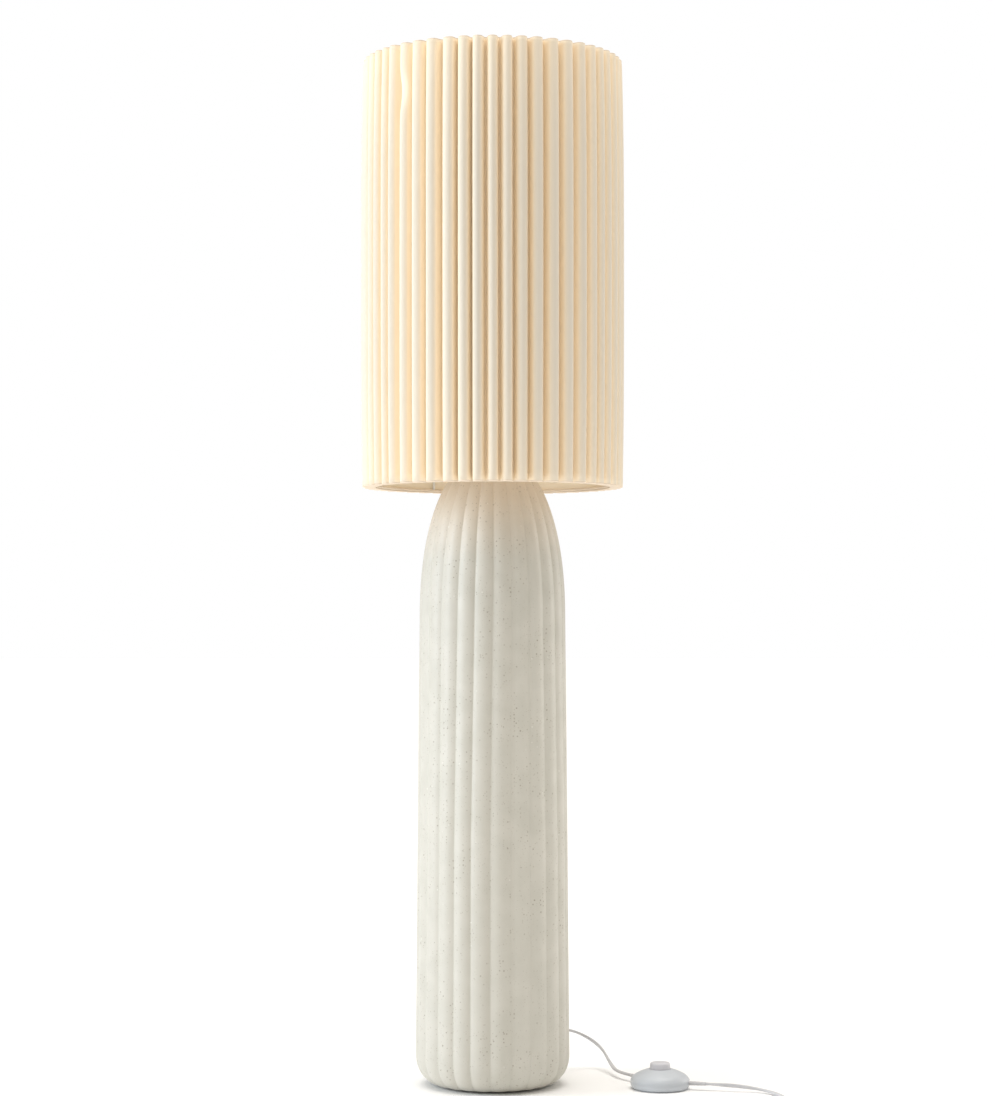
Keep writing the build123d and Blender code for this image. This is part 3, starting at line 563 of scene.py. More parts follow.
# how the flat cord turns about its own line: (share of the length, degrees)
baseTwist = [(0, 0), (0.25, 5), (0.40, 62), (0.52, 58), (0.75, 12), (1, 0)]
leadTwist = [
    (0, 0), (0.017, 35), (0.028, 58), (0.040, 50), (0.067, 8), (0.10, 0), (0.17, 60), (0.225, 90), (0.90, 90),
    (0.985, 0), (1, 0)]


def coilPoints():
    # half turns that get smaller up to the one that climbs, and larger again on top of the first ones
    look = cordLook
    low, high = look["coilLevels"]
    centreX, centreY = look["coilCentre"]
    step = look["coilStep"]
    angle = np.radians(np.arange(step / 2, 180, step))
    x, side, points = look["coilRadii"][0], -1, []
    for k, r in enumerate(look["coilRadii"]):
        middle = x + r * side
        wide = r / math.cos(math.radians(step / 2))
        climb = np.interp(np.degrees(angle), (0, 180), (low, high))
        z = climb if k == look["coilClimb"] else (low if k < look["coilClimb"] else high) + 0 * angle
        y = centreY + side * wide * np.sin(angle)
        points.append(np.stack([centreX + middle - side * wide * np.cos(angle), y, z], axis=1))
        x += 2 * r * side
        side = -side
    return [tuple(p) for p in np.concatenate(points)]


def splineLine(name, points, shortest=1e-5):
    # the smooth line of a NURBS spline with these control points, read as Blender draws it
    curve = bpy.data.curves.new(name, "CURVE")
    curve.dimensions = "3D"
    spline = curve.splines.new("NURBS")
    spline.points.add(len(points) - 1)
    spline.points.foreach_set("co", np.array([(*p, 1.0) for p in points], np.float32).reshape(-1))
    spline.order_u = 3
    spline.use_endpoint_u = True
    spline.resolution_u = 10
    holder = bpy.data.objects.new(name, curve)
    drawn = bpy.data.meshes.new_from_object(holder)
    line = np.empty(len(drawn.vertices) * 3, np.float32)
    drawn.vertices.foreach_get("co", line)
    bpy.data.objects.remove(holder)
    bpy.data.curves.remove(curve)
    bpy.data.meshes.remove(drawn)
    line = line.reshape(-1, 3).astype(float)
    apart = np.concatenate([[True], np.linalg.norm(np.diff(line, axis=0), axis=1) > shortest])
    return line[apart]


def flatFlex(name, route, twistStops):
    # a flat two-core cord that turns about its own line as it lies
    line = splineLine(name + "Line", route)
    walked = walkedLength(line)
    twist = np.interp(walked / walked[-1], *np.array(twistStops, float).T)
    outline = stadium(cordLook["width"], cordLook["height"])
    print(name, "length", round(walked[-1], 4))
    return swept(name, line / mm, outline, finishes["flex"], twist=twist), line


baseCord, baseLine = flatFlex("baseCord", baseRoute, baseTwist)
leadCord, leadLine = flatFlex("leadCord", leadRoute + coilPoints() + plugRoute, leadTwist)
place(baseCord, "lamp", "cord")
place(leadCord, "lamp", "cord", "plug_cord", "cord_coil", "plug_lead")
print("cords laid")


# Ribbed ceramic body

bodyLook = {
    "ribs": 24, "crestAzimuth": 50.5, "grooveDepth": 2.7, "grooveSoftness": 0.05,
    "ribColumns": (0, 0.035, 0.08, 0.15, 0.28, 0.48, 0.73, 1.0),
    "uneven": ((2.6, 1, -38.7), (1.1, 3, 35.8), (0.54, 6, 5.4)),
    "upperShift": (3.0, 2, -61), "upperFrom": 300.0, "upperTo": 640.0,
    "crestRadius": 94.3, "footIn": 27.0, "footHigh": 36.0, "shoulderZ": 570.0, "shoulderRadius": 89.4,
    "domeHigh": 203.0, "domePower": 2.2, "bottomZ": 2.0, "topZ": 762.0, "wall": 7.0,
    "footRows": 16, "sideRows": 25, "domeRows": 36,
    "innerDomeRows": 7, "innerDomeHigh": 184.0, "innerDomeEnd": 62.0,
    "neckHole": [(7, 762), (7, 754), (22, 754)], "neckRound": 1.2,
    "floorCorner": [(0, 48), (5, 33), (18, 24)], "floorLine": [(7, 24), (7, 14), (54, 14), (54, 2)],
    "floorRound": 1.0,
}


def crestRadius(z):
    # quarter ellipse at the foot, straight taper, then a superellipse dome
    look = bodyLook
    radius, shoulder, power = look["crestRadius"], look["shoulderRadius"], look["domePower"]
    footTop = look["bottomZ"] + look["footHigh"]
    s = np.clip((footTop - z) / look["footHigh"], 0, 1)
    foot = radius - look["footIn"] * (1 - np.sqrt(1 - s * s))
    side = np.interp(z, (footTop, look["shoulderZ"]), (radius, shoulder))
    t = np.clip((z - look["shoulderZ"]) / look["domeHigh"], 0, 1)
    dome = shoulder * (1 - t ** power) ** (1 / power)
    return np.where(z < footTop, foot, np.where(z > look["shoulderZ"], dome, side))


def bodyLine():
    # the wall's profile through a crest: outside upward, neck, inside downward, floor; as (radius, z)
    look = bodyLook
    footTop, shoulderZ = look["bottomZ"] + look["footHigh"], look["shoulderZ"]
    bend = 2 / look["domePower"]
    footZ = footTop - look["footHigh"] * np.sin(np.radians(np.linspace(90, 0, look["footRows"])))
    sideZ = np.linspace(footTop, shoulderZ, look["sideRows"] + 1)[1:]
    end = math.asin(((look["topZ"] - shoulderZ) / look["domeHigh"]) ** (1 / bend))
    steps = np.arange(1, look["domeRows"] + 1) / look["domeRows"]
    outerZ = np.concatenate([footZ, sideZ, shoulderZ + look["domeHigh"] * np.sin(end * steps) ** bend])
    outer = np.stack([crestRadius(outerZ), outerZ], axis=1)
    top = softCorners([outer[-1], *look["neckHole"]], look["neckRound"], closed=False)[1:-1]
    inward = look["grooveDepth"] + look["wall"]
    a = np.radians(np.linspace(look["innerDomeEnd"], 0, look["innerDomeRows"]))
    domeRadius = (look["shoulderRadius"] - inward) * np.cos(a) ** bend
    dome = np.stack([domeRadius, shoulderZ + look["innerDomeHigh"] * np.sin(a) ** bend], axis=1)
    floor = [(look["crestRadius"] - inward - inset, z) for inset, z in look["floorCorner"]]
    floor = softCorners(floor + look["floorLine"] + [outer[0]], look["floorRound"], closed=False)[:-1]
    return np.concatenate([outer, top, dome, floor]), len(outer), len(outer) + len(top)


def turnRibs(azimuth, size, waves, start, share=1.0):
    # turns the ribs by up to size degrees, in this many waves around; start is where a wave is at its most
    return azimuth + share * math.radians(size) * np.sin(waves * (azimuth - math.radians(start - 90)))


def ceramicPiece():
    look = bodyLook
    line, ribbedRows, glazedRows = bodyLine()
    # a rib is an arch with a soft bottom, from groove to groove; drop is 0 on its crest and 1 in the groove
    half = np.array(look["ribColumns"])
    t = np.concatenate([half, half[-2:0:-1]])
    across = np.concatenate([half / 2, 1 - half[-2:0:-1] / 2])
    soft = look["grooveSoftness"]
    rise = (np.sqrt(t ** 2 + soft ** 2) - soft) / (math.sqrt(1 + soft ** 2) - soft)
    drop = np.tile((1 - rise) ** 2, look["ribs"])
    turns = (np.arange(look["ribs"])[:, None] + 0.5 + across[None, :]).reshape(-1)
    azimuth = turns * 2 * np.pi / look["ribs"] + np.radians(look["crestAzimuth"])
    for shift in look["uneven"]:
        azimuth = turnRibs(azimuth, *shift)
    upper = np.clip((line[:, 1:] - look["upperFrom"]) / (look["upperTo"] - look["upperFrom"]), 0, 1)
    azimuth = turnRibs(azimuth, *look["upperShift"], upper)
    row = np.arange(len(line))
    r = line[:, :1]
    r = r - (row < ribbedRows)[:, None] * look["grooveDepth"] * r / look["crestRadius"] * drop[None, :]
    grid = np.stack([r * np.cos(azimuth), r * np.sin(azimuth), line[:, 1:] + 0 * r], axis=-1)
    return gridMesh(
        "ceramicBody", grid, [finishes["glaze"], finishes["bisque"]], loop=True, rowSlots=row >= glazedRows)


place(ceramicPiece(), "lamp", "ceramic")
print("ceramic body made")


# Foot, neck and the cord's way in

nutLook = {"flats": 16.0, "corners": 1.155, "bore": 5.05, "face": 0.3, "edge": 0.9}


def nutProfile(z, height):
    half, bore, edge = nutLook["flats"] / 2, nutLook["bore"], nutLook["edge"]
    top, face, end = half * nutLook["corners"], half + nutLook["face"], z + height
    return [(bore, z), (face, z), (top, z + edge), (top, end - edge), (face, end), (bore, end)]


def sixSides(radius, h, angle):
    # the distance to the side of a hexagon, for all points outside the bore
    half = nutLook["flats"] / 2
    flat = half / np.cos(np.mod(angle, np.pi / 3) - np.pi / 6)
    return np.where(radius > half - 1, np.minimum(flat, radius), radius)


nutShape = {"cut": 0.15, "sides": 72, "ripple": sixSides}
turnAll("lamp", {
    "footPad": ("felt", "felt", [(20, 0), (63, 0), (63, 2), (20, 2)], {}),
    "basePlate": ("steel", "steel", [(5.2, 11.5), (52, 11.5), (52, 14), (5.2, 14)], {"cut": 0.4}),
    "bottomWasher": ("steel", "steel", [(5.2, 9.5), (14, 9.5), (14, 11.5), (5.2, 11.5)], {"cut": 0.3}),
    "bottomNut": ("steel", "steel", nutProfile(4.5, 5.0), nutShape),
    "neckGasket": ("rubber", "black_rubber", [(9, 762), (31, 762), (31, 763), (9, 763)], {"cut": 0.2}),
    "neckCap": ("brass", "brass", [
        (29.4, 763), (33, 763), (31.2, 764.8), (13, 768.2), (5.2, 768.2), (5.2, 767), (13, 767)], {}),
    "topWasher": ("steel", "steel", [(5.2, 768.2), (11, 768.2), (11, 769.7), (5.2, 769.7)], {"cut": 0.25}),
    "topNut": ("steel", "steel", nutProfile(769.7, 6.3), nutShape),
})

entryLook = {
    "level": 52.0, "wallRadius": 75.5, "cableRadius": 2.6, "cableTop": 796.0, "cableBend": 24.0,
    "cableStep": 30.0, "cableLean": (0.02, 0.0, 0.0),
}


def innerCable():
    level = entryLook["level"]
    corners = [(*entryLook["wallRadius"] * outward[:2], level), (0, 0, level), (0, 0, entryLook["cableTop"])]
    line = softCorners(corners, entryLook["cableBend"], closed=False, steps=10)
    line = finer(line, entryLook["cableStep"])
    # never quite upright, so that the sweep has a side
    line = line + np.linspace(0, 1, len(line))[:, None] * entryLook["cableLean"]
    return swept("innerCable", line, roundLine(entryLook["cableRadius"]), finishes["flex"])


outward = pointing(bodyLook["crestAzimuth"])  # the cord comes in through the crest of a rib
turnAll("lamp", {
    "cordGrommet": ("flex", "pale_plastic", [
        (0, 75.5), (6.3, 75.5), (6.3, 91.5), (8.2, 91.5), (8.6, 92.5), (8.6, 96.2), (7.6, 97.0), (5.0, 97.4),
        (4.4, 103), (3.5, 114.2), (0, 114.35)],
        {"sides": 48, "origin": (0, 0, entryLook["level"]), "axis": outward}),
})
place(innerCable(), "lamp", "cord")
print("foot and neck made")


# Lamp holder

holderLook = {
    "skirtRadius": 20.0, "skirtBand": 0.2, "skirtPitch": 2.5, "skirtDeep": 0.35, "skirtZ": (816.5, 844.0),
    "knurls": 44, "knurlFrom": 24.4, "knurlDeep": 0.4, "capPitch": 3.6, "shellDeep": 0.24,
}


def threadWave(h, angle, pitch):
    # 0 on the thread's crest and 1 in its groove
    return 0.5 - 0.5 * np.cos(2 * np.pi * h / pitch - angle)


def skirtThread(radius, h, angle):
    look = holderLook
    low, high = look["skirtZ"]
    inside = (np.abs(radius - look["skirtRadius"]) < look["skirtBand"]) & (h > low) & (h < high)
    return radius - np.where(inside, look["skirtDeep"] * threadWave(h, angle, look["skirtPitch"]), 0)


def knurl(radius, h, angle):
    wave = 0.5 + 0.5 * np.cos(holderLook["knurls"] * angle)
    return radius - np.where(radius > holderLook["knurlFrom"], holderLook["knurlDeep"] * wave, 0)


def shellThread(radius, h, angle):
    return radius - holderLook["shellDeep"] * threadWave(h, angle, holderLook["capPitch"])


turnAll("lamp", {
    "holderBase": ("holder", "holder", [
        (5.05, 776), (16, 776), (20, 781), (20, 800), (18, 800), (18, 796), (15.5, 796), (15.5, 782),
        (8.55, 782), (8.55, 790), (5.05, 790)], {"cut": 0.7}),
    "holderSkirt": ("holder", "holder", [
        (18, 800), (20, 800), (20, 813), (23.5, 813), (23.5, 815), (20, 815), (20, 845), (19, 846),
        (14.2, 846), (14.2, 812.4), (18, 812.4)],
        {"cut": 0.4, "sides": 120, "step": 0.6, "ripple": skirtThread}),
    "holderShell": (
        "brass", "brass", [(13.5, 812), (13.9, 812), (13.9, 842), (13.5, 842)],
        {"cut": 0.1, "step": 0.8, "ripple": shellThread}),
    "clampRing": (
        "holder", "holder", [(20.05, 816.6), (25, 816.6), (25, 821.6), (24, 822.6), (20.05, 822.6)],
        {"sides": 264, "ripple": knurl}),
})
print("holder made")


# Bulb

bulbLook = {
    "radius": 30.0, "centreZ": 898.0, "globeFrom": 873.0,
    "capFrom": 12.5, "capDeep": 0.5, "capZ": (827.0, 845.0),
}


def capThread(radius, h, angle):
    low, high = bulbLook["capZ"]
    inside = (radius > bulbLook["capFrom"]) & (h > low) & (h < high)
    return radius - np.where(inside, bulbLook["capDeep"] * threadWave(h, angle, holderLook["capPitch"]), 0)


def globeProfile():
    # a flat bottom and a ball cut off there
    radius, centreZ, fromZ = bulbLook["radius"], bulbLook["centreZ"], bulbLook["globeFrom"]
    a = np.linspace(math.asin((fromZ - centreZ) / radius), math.pi / 2, 40)
    arc = np.stack([radius * np.cos(a), centreZ + radius * np.sin(a)], axis=1)
    arc[-1, 0] = 0
    return np.concatenate([[(0, fromZ)], arc])


turnAll("bulb_lift", {
    "bulbContact": ("brass", "brass", [(0, 820), (4.5, 820), (4.5, 821.2), (0, 821.2)], {"sides": 48}),
    "bulbInsulator": (
        "blackPlastic", "black_plastic", [(0, 821.2), (5, 821.2), (10.5, 824), (0, 824)], {"sides": 48}),
})
turnAll("bulb", {
    "bulbCap": ("nickel", "steel", [
        (0, 824), (11.5, 824), (13.1, 826), (13.1, 846.6), (0, 846.6)],
        {"cut": 0.4, "step": 0.6, "ripple": capThread}),
    "bulbHousing": ("bulbPlastic", "white_plastic", [
        (0, 846.6), (15.5, 846.6), (17.5, 854.6), (22.5, 873), (0, 873)], {"cut": (0.5, 1.0, 4.0, 0.5, 0.5)}),
    "bulbGlobe": ("opalGlobe", "bulb_glass", globeProfile(), {"cut": 0, "sides": 64}),
})
print("bulb made")


# Pleated shade: the angle is measured from the front of the lamp, and rises to the right

shadeLook = {
    "pleats": 52, "crestRadius": 161.0, "tubeRadius": 6.5, "valleyRadius": 145.40, "valleyHalf": 0.8,
    "sheet": 0.8, "lowZ": 731.3, "topZ": 1248.1, "topFlat": 0.17, "lowFlat": 0.10,
    "rowStops": (761.3, 1120.0, 1236.0, 1243.0), "unevenWave": 0.017, "leanWaves": (2.3, 3),
    "seed": 7, "uneven": (0.0045, 0.018, 0.0022),  # the spread of the shift, the puff and the lean of a pleat
}
# one pleat is pushed in: pushed sideways at its height, a little back above that, and less deep there
dentLook = {
    "pleat": -6, "z": 1190.0, "shift": 0.015, "reach": 17.0, "flat": 0.16,
    "backUp": 34.0, "backReach": 16.0, "backShift": 0.3, "foldUp": 16.0, "foldReach": 9.0, "foldFlat": 0.10,
}
trimLook = {
    "high": 1.5, "inset": 0.05,
    "inside": ((143.6, 1.5), (143.2, 1.35), (143.0, 1.0), (143.0, 0.2), (143.2, 0)),
}
linerLook = {
    "inner": 143.5, "outer": 144.5, "seamAt": 121.8, "seamHalf": 0.034, "seamEdge": 0.004, "seamThick": 0.4,
}


def pleatLine():
    # one pleat seen from above: half circle crest, nearly straight walls, narrow valley; as (angle, radius)
    look = shadeLook
    half, tube, valley = math.pi / look["pleats"], look["tubeRadius"], look["valleyRadius"]
    centre = look["crestRadius"] - tube
    corner = np.array((valley * math.tan(half) - look["valleyHalf"], valley))
    reach = math.hypot(corner[0], centre - corner[1])
    wall = math.atan2(corner[0], corner[1] - centre) - math.acos(tube / reach)
    a = np.linspace(0, wall, 9)
    crest = np.stack([tube * np.sin(a), centre + tube * np.cos(a)], axis=1)
    down = (corner - crest[-1]) / np.linalg.norm(corner - crest[-1])
    t = np.linspace(0, 1, 4)[:, None]
    end = corner + (0.7, 0.0)
    bend = (1 - t) ** 2 * (corner - 1.3 * down) + 2 * t * (1 - t) * corner + t ** 2 * end
    right = np.concatenate([crest, bend])
    middle = np.array([[valley * math.sin(half), valley * math.cos(half)]])
    whole = np.concatenate([right[::-1][:-1] * (-1, 1), right, middle])
    return np.arctan2(whole[:, 0], whole[:, 1]), np.hypot(whole[:, 0], whole[:, 1])


def bell(z, middle, reach):
    return np.exp(-((z - middle) / reach) ** 2)


def coverGrid(z, inset):
    # all pleats at each height: uneven spacing, flatter near the ends, one pleat with a dent
    look, dent = shadeLook, dentLook
    offset, radius = pleatLine()
    pleats = look["pleats"]
    random = np.random.default_rng(look["seed"])
    shift, puff, lean = [random.normal(0, spread, pleats)[None, :, None] for spread in look["uneven"]]
    index = np.arange(pleats)[None, :, None]
    centre = 2 * np.pi * index / pleats
    z = np.asarray(z, float)[:, None, None]
    mid, half = (look["lowZ"] + look["topZ"]) / 2, (look["topZ"] - look["lowZ"]) / 2
    q = (z - mid) / half
    upWave, aroundWave = look["leanWaves"]
    wave = np.sin(q * upWave + centre * aroundWave)
    # a pleat moves as one, and less and less toward its valleys, which it shares with its neighbours
    between = (1 - (np.abs(offset) / (np.pi / pleats)) ** 3)[None, None, :]
    angle = centre + offset[None, None, :]
    angle = angle - look["unevenWave"] * np.sin(6 * angle)
    angle = angle + between * (shift + lean * wave)
    dented = (index == dent["pleat"] % pleats) * between
    near = bell(z, dent["z"], dent["reach"])
    above = bell(z, dent["z"] + dent["backUp"], dent["backReach"])
    fold = bell(z, dent["z"] + dent["foldUp"], dent["foldReach"])
    angle = angle + dented * dent["shift"] * (near - dent["backShift"] * above)
    flat = 1 - np.where(q > 0, look["topFlat"], look["lowFlat"]) * np.abs(q) ** 3
    depth = (radius[None, None, :] - look["valleyRadius"]) * flat * (1 + puff)
    depth = depth * (1 - dented * (dent["flat"] * near + dent["foldFlat"] * fold))
    r = look["valleyRadius"] + depth
    x, y = r * np.sin(angle), -r * np.cos(angle)
    x, y = x.reshape(len(z), -1), y.reshape(len(z), -1)
    if inset:
        dx, dy = np.roll(x, -1, 1) - np.roll(x, 1, 1), np.roll(y, -1, 1) - np.roll(y, 1, 1)
        size = np.hypot(dx, dy)
        x, y = x - inset * dy / size, y + inset * dx / size
    return np.stack([x, y, np.broadcast_to(z[:, :, 0], x.shape)], axis=-1)


def pleatedCover():
    # the sheet's outside upward and its inside downward; the UV is the developed cloth, in metres
    low, top = shadeLook["lowZ"], shadeLook["topZ"]
    edge, middle, bend, last = shadeLook["rowStops"]
    z = np.concatenate([
        np.linspace(low, edge, 4)[:-1], np.linspace(edge, middle, 12)[:-1], np.linspace(middle, bend, 15),
        [last, top]])
    outer = coverGrid(z, 0)
    inner = coverGrid(z[::-1], shadeLook["sheet"])
    run = walkedLength(outer[0, :, :2])
    run = np.append(run, run[-1] + np.linalg.norm(outer[0, 0, :2] - outer[0, -1, :2])) * mm
    up = np.concatenate([z, z[::-1], z[:1]]) * mm
    uv = np.stack(np.broadcast_arrays(run[None, :], up[:, None]), axis=-1)
    grid = np.concatenate([outer, inner])
    return gridMesh("pleatedCover", grid, finishes["pleatCloth"], loop=True, uv=uv), run[-1]


def scallopTrim(name, z, way):
    # a thin ring with a rounded outer edge that follows the pleats; way is 1 at the top and -1 at the bottom
    high, inset = trimLook["high"], trimLook["inset"]
    rows = []
    for a in np.linspace(0, math.pi / 2, 6):
        rows.append(coverGrid([z], inset + high * (1 - math.cos(a)))[0] + (0, 0, way * high * math.sin(a)))
    bearing = np.arctan2(rows[0][:, 1], rows[0][:, 0])
    for r, h in trimLook["inside"]:
        rows.append(np.stack([r * np.cos(bearing), r * np.sin(bearing), z + way * h + 0 * bearing], axis=1))
    return gridMesh(name, np.array(rows), finishes["edgeCard"], loop=True)


def linerSeam(radius, h, angle):
    # the lining overlaps itself in a strip 9 mm wide
    look = linerLook
    away = np.abs(np.angle(np.exp(1j * (angle - math.radians(look["seamAt"])))))
    strip = np.clip((look["seamHalf"] - away) / look["seamEdge"], 0, 1)
    middle = (look["inner"] + look["outer"]) / 2
    return radius - np.where(radius < middle, look["seamThick"] * strip, 0)


cover, developed = pleatedCover()
place(cover, "shade", "pleats")
place(scallopTrim("topTrim", shadeLook["topZ"], 1), "shade", "trim")
place(scallopTrim("bottomTrim", shadeLook["lowZ"], -1), "shade", "trim")
linerProfile = [(linerLook[side], shadeLook[end]) for side, end in (
    ("inner", "lowZ"), ("outer", "lowZ"), ("outer", "topZ"), ("inner", "topZ"))]
turnAll("shade", {
    "shadeLiner": ("lining", "liner", linerProfile, {"cut": 0.2, "sides": 720, "ripple": linerSeam}),
})
print("shade made, cloth", round(float(developed), 3), "m around")


# Fitter: hub, wire rings and arms

fitterLook = {
    "wire": 1.5, "ring": 141.95, "armBend": 20, "armStep": 12, "armLean": (0.004, 0, 0),
    "armLine": [(22.5, 0, 814.0), (50, 0, 814.0), (141.59, 0, 757.85), (141.59, 0.02, 734.0)],
    "azimuths": {"Right": 1.8, "Back": 121.8, "Front": 241.8}, "rings": {"bottom": 732.85, "top": 1246.55},
}


def wireRing(name, z):
    loop = roundLine(fitterLook["wire"], 14) + (fitterLook["ring"], z)
    return turned(name, loop, finishes["edgeCard"], cut=0, sides=180)


def fitterArm(name, azimuth):
    corners = fitterLook["armLine"]
    line = softCorners(corners, fitterLook["armBend"], closed=False, steps=10)
    line = finer(line, fitterLook["armStep"])
    # leans a hair inward all the way down, so that no stretch of it is quite upright
    line = line - np.maximum(0, corners[2][2] - line[:, 2:]) * fitterLook["armLean"]
    turn = np.array((pointing(azimuth), pointing(azimuth + 90), (0, 0, 1)))
    return swept(name, line @ turn, roundLine(fitterLook["wire"], 12), finishes["whiteMetal"])


turnAll("shade", {
    "fitterHub": ("whiteMetal", "white_metal", [
        (20.6, 815.2), (30, 815.2), (30, 816.4), (20.6, 816.4)], {"cut": 0.35}),
})
for label, z in fitterLook["rings"].items():
    place(wireRing(label + "Ring", z), "shade", "white_metal")
for label, azimuth in fitterLook["azimuths"].items():
    place(fitterArm("fitterArm" + label, azimuth), "shade", "white_metal")
print("fitter made")


# Foot switch

switchPlace = (203.0, -32.0, 0.0)
# name: (profile, rounding of each corner)
switchShells = {
    "switchBase": (
        [(0, 0), (31.6, 0), (34.5, 2.0), (35.75, 5.2), (35.75, 7.95), (33.75, 7.95), (33.75, 2.4), (0, 2.4)],
        (0.5, 1.6, 1.6, 1.4, 0.25, 0.2, 0.6, 0.5)),
    "switchTop": (
        [(33.75, 8), (35.75, 8), (35.75, 11.4), (33.4, 14.8), (30.4, 17.3), (25.0, 20.1), (18.5, 22.7),
         (13.4, 24), (12.6, 23.4), (12.6, 21.8), (33.75, 12.6)],
        (0.2, 0.25, 2.0, 1.6, 1.5, 2.0, 2.5, 0.6, 0.3, 0.3, 0.5)),
}
reliefLook = {
    "rings": 6, "ringDeep": 0.05, "ringsTo": 0.98, "wallRadius": 29.5, "level": 8.0, "length": 26.25,
    "wide": (7.4, 6.2), "high": (5.4, 3.9), "azimuths": {"switchReliefIn": 125.0, "switchReliefOut": -15.0},
}


def flatRelief(name, start, direction, length, wide, high):
    # a tapered sleeve around the flat cord, with shallow rings; wide and high are (at the wall, at the nose)
    s = np.linspace(0, 1, 41)
    path = np.asarray(start, float) + s[:, None] * (np.asarray(direction, float) * length)
    wave = 0.5 - 0.5 * np.cos(2 * np.pi * reliefLook["rings"] * s)
    rings = 1 - reliefLook["ringDeep"] * wave * (s < reliefLook["ringsTo"])
    grow = np.stack([np.interp(s, (0, 1), wide) * rings, np.interp(s, (0, 1), high) * rings], axis=1)
    unitOval = stadium(1.0, 0.62, 32) / (0.5, 0.31) / 2
    return swept(name, path, unitOval, finishes["flex"], grow=grow)


def reliefAt(name):
    look = reliefLook
    direction = pointing(look["azimuths"][name])
    start = switchPlace + direction * look["wallRadius"] + (0, 0, look["level"])
    return flatRelief(name, start, direction, look["length"], look["wide"], look["high"])


for name, (profile, rounds) in switchShells.items():
    shell = turned(name, profile, finishes["switch"], rounds, sides=120, origin=switchPlace)
    place(shell, "lamp", "switch_plastic", "switch_" + name[6:].lower() + "_shell")
turnAll("foot_button", {
    "switchButton": ("button", "switch_plastic", [
        (0, 15.8), (3, 15.8), (3, 19), (14.2, 19), (14.2, 20.4), (12.25, 20.4), (12.25, 29.6), (11.35, 31.3),
        (9.25, 32), (0, 32)],
        {"cut": (0.5, 0.3, 0.3, 0.3, 0.3, 0.3, 0.9, 0.8, 1.2, 0.5), "origin": switchPlace}),
})
place(reliefAt("switchReliefIn"), "lamp", "cord")
reliefOut = place(reliefAt("switchReliefOut"), "lamp", "cord")
print("foot switch made")


# Plug, its relief and the coil's tie

plugLook = {
    "x": 188.0, "y": -176.0, "z": 6.85, "squareness": 0.5, "pinX": 152.5, "pinY": {"A": -185.3, "B": -166.7},
    "sections": (0, 0.15, 0.8, 3, 6, 9, 11, 13, 15, 18, 24, 30, 33.5, 34.9, 35.5),
    "wide": (
        (0, 0.15, 0.8, 3, 8, 13, 16, 33.5, 34.9, 35.5),
        (6.6, 7.2, 7.9, 8.7, 11.2, 16.4, 17.5, 17.5, 17.0, 16.2)),
    "high": ((0, 0.15, 0.8, 3, 13, 33.5, 34.9, 35.5), (5.2, 5.7, 6.2, 6.6, 6.85, 6.85, 6.4, 5.7)),
    "reliefLength": 23.0, "reliefWide": (9.0, 6.2), "reliefHigh": (7.6, 4.4),
}
tieLook = {
    "x": (308.0, 317.0), "y": (-279.75, -262.92), "z": (0.1, 13.1),
    "thick": 0.7, "round": 3.0, "innerRound": 2.4,
}


def plugBody():
    # sections along the plug's length: a squared oval whose half width swells from the cord end to the face
    look = plugLook
    s = np.array(look["sections"])[:, None]
    wide, high = np.interp(s, *look["wide"]), np.interp(s, *look["high"])
    a = np.linspace(0, 2 * np.pi, 64, endpoint=False)
    y = np.sign(np.cos(a)) * np.abs(np.cos(a)) ** look["squareness"]
    z = np.sign(np.sin(a)) * np.abs(np.sin(a)) ** look["squareness"]
    grid = np.stack([look["x"] - s + 0 * a, look["y"] + wide * y, look["z"] + high * z], axis=-1)
    first, last = [grid[row:row + 1].mean(axis=1, keepdims=True) + 0 * grid[:1] for row in (0, len(s) - 1)]
    return gridMesh("plugBody", np.concatenate([first, grid, last]), finishes["plug"])


def plugPin(name, y, profile, finish):
    origin = (plugLook["pinX"], y, plugLook["z"])
    return turned(name, profile, finishes[finish], 0.25, sides=32, origin=origin, axis=(-1, 0, 0))


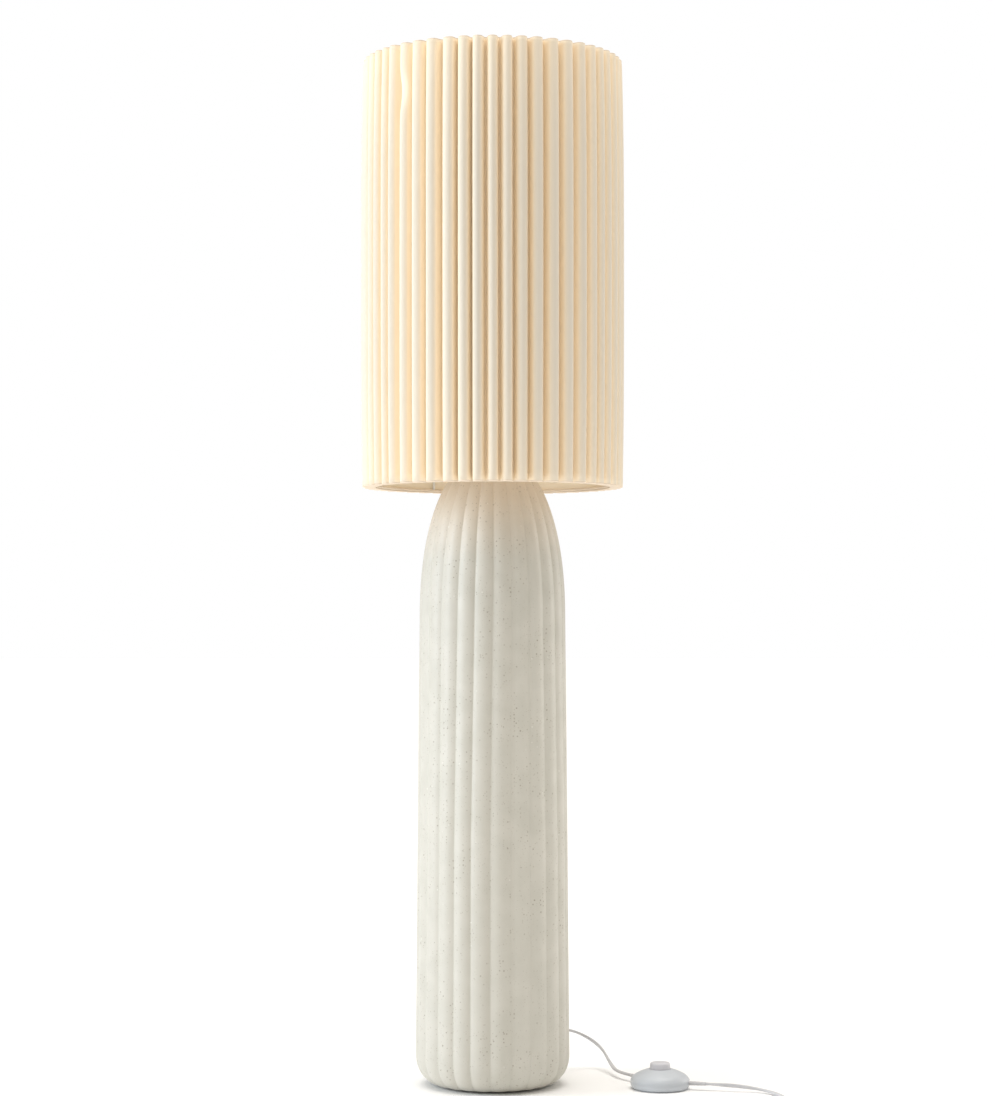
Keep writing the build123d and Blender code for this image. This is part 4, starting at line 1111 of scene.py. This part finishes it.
def tieLoop(inset, corner):
    # a rounded rectangle as (y, z)
    y0, y1 = np.add(tieLook["y"], (inset, -inset))
    z0, z1 = np.add(tieLook["z"], (inset, -inset))
    return softCorners([(y1, z0), (y0, z0), (y0, z1), (y1, z1)], corner, steps=6)


def coilTie():
    # a band with a rounded rectangle's section, closed around the strands
    outer, inner = tieLoop(0.0, tieLook["round"]), tieLoop(tieLook["thick"], tieLook["innerRound"])
    x0, x1 = tieLook["x"]
    sides = [(x0, outer), (x1, outer), (x1, inner), (x0, inner)]
    grid = np.array([np.concatenate([np.full((len(p), 1), x), p], axis=1) for x, p in sides])
    return gridMesh("coilTie", grid, finishes["tie"], loop=True)


plugShape = place(plugBody(), "lamp", "plug_plastic")
plugSleeve = place(flatRelief(
    "plugRelief", (plugLook["x"] - 1.0, plugLook["y"], plugLook["z"]), (1, 0, 0), plugLook["reliefLength"],
    plugLook["reliefWide"], plugLook["reliefHigh"]), "lamp", "cord")
pins = []
for label, y in plugLook["pinY"].items():
    metal = plugPin("plugPin" + label, y, [
        (0, 0), (1.85, 0), (1.85, 10), (2.0, 10), (2.0, 18), (1.3, 19), (0, 19)], "brass")
    sleeve = plugPin("pinSleeve" + label, y, [(1.8, 0), (2.0, 0), (2.0, 10), (1.8, 10)], "plug")
    pins += [place(metal, "lamp", "pin_metal", "plug_pins"), place(sleeve, "lamp", "plug_plastic")]
tie = place(coilTie(), "lamp", "tie")
print("plug and tie made")


# CAD nodes that stay, with their finishes

keptNodes = {
    "tie_tube": "thread", "holder_insert": "porcelain", "terminal_screws": "brass", "holder_contact": "brass",
    "switch_module": "blackPlastic", "switch_screws": "steel",
}
for node, finish in keptNodes.items():
    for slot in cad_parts[node].material_slots:
        slot.material = finishes[finish]


# Floor

floorCorners = [(-25, -12, 0), (25, -12, 0), (25, 40, 0), (-25, 40, 0)]
floorMesh = bpy.data.meshes.new("studioFloor")
floorMesh.from_pydata(floorCorners, [], [(0, 1, 2, 3)])
floorMesh.materials.append(finishes["floor"])
floor = addObject("studioFloor", floorMesh)
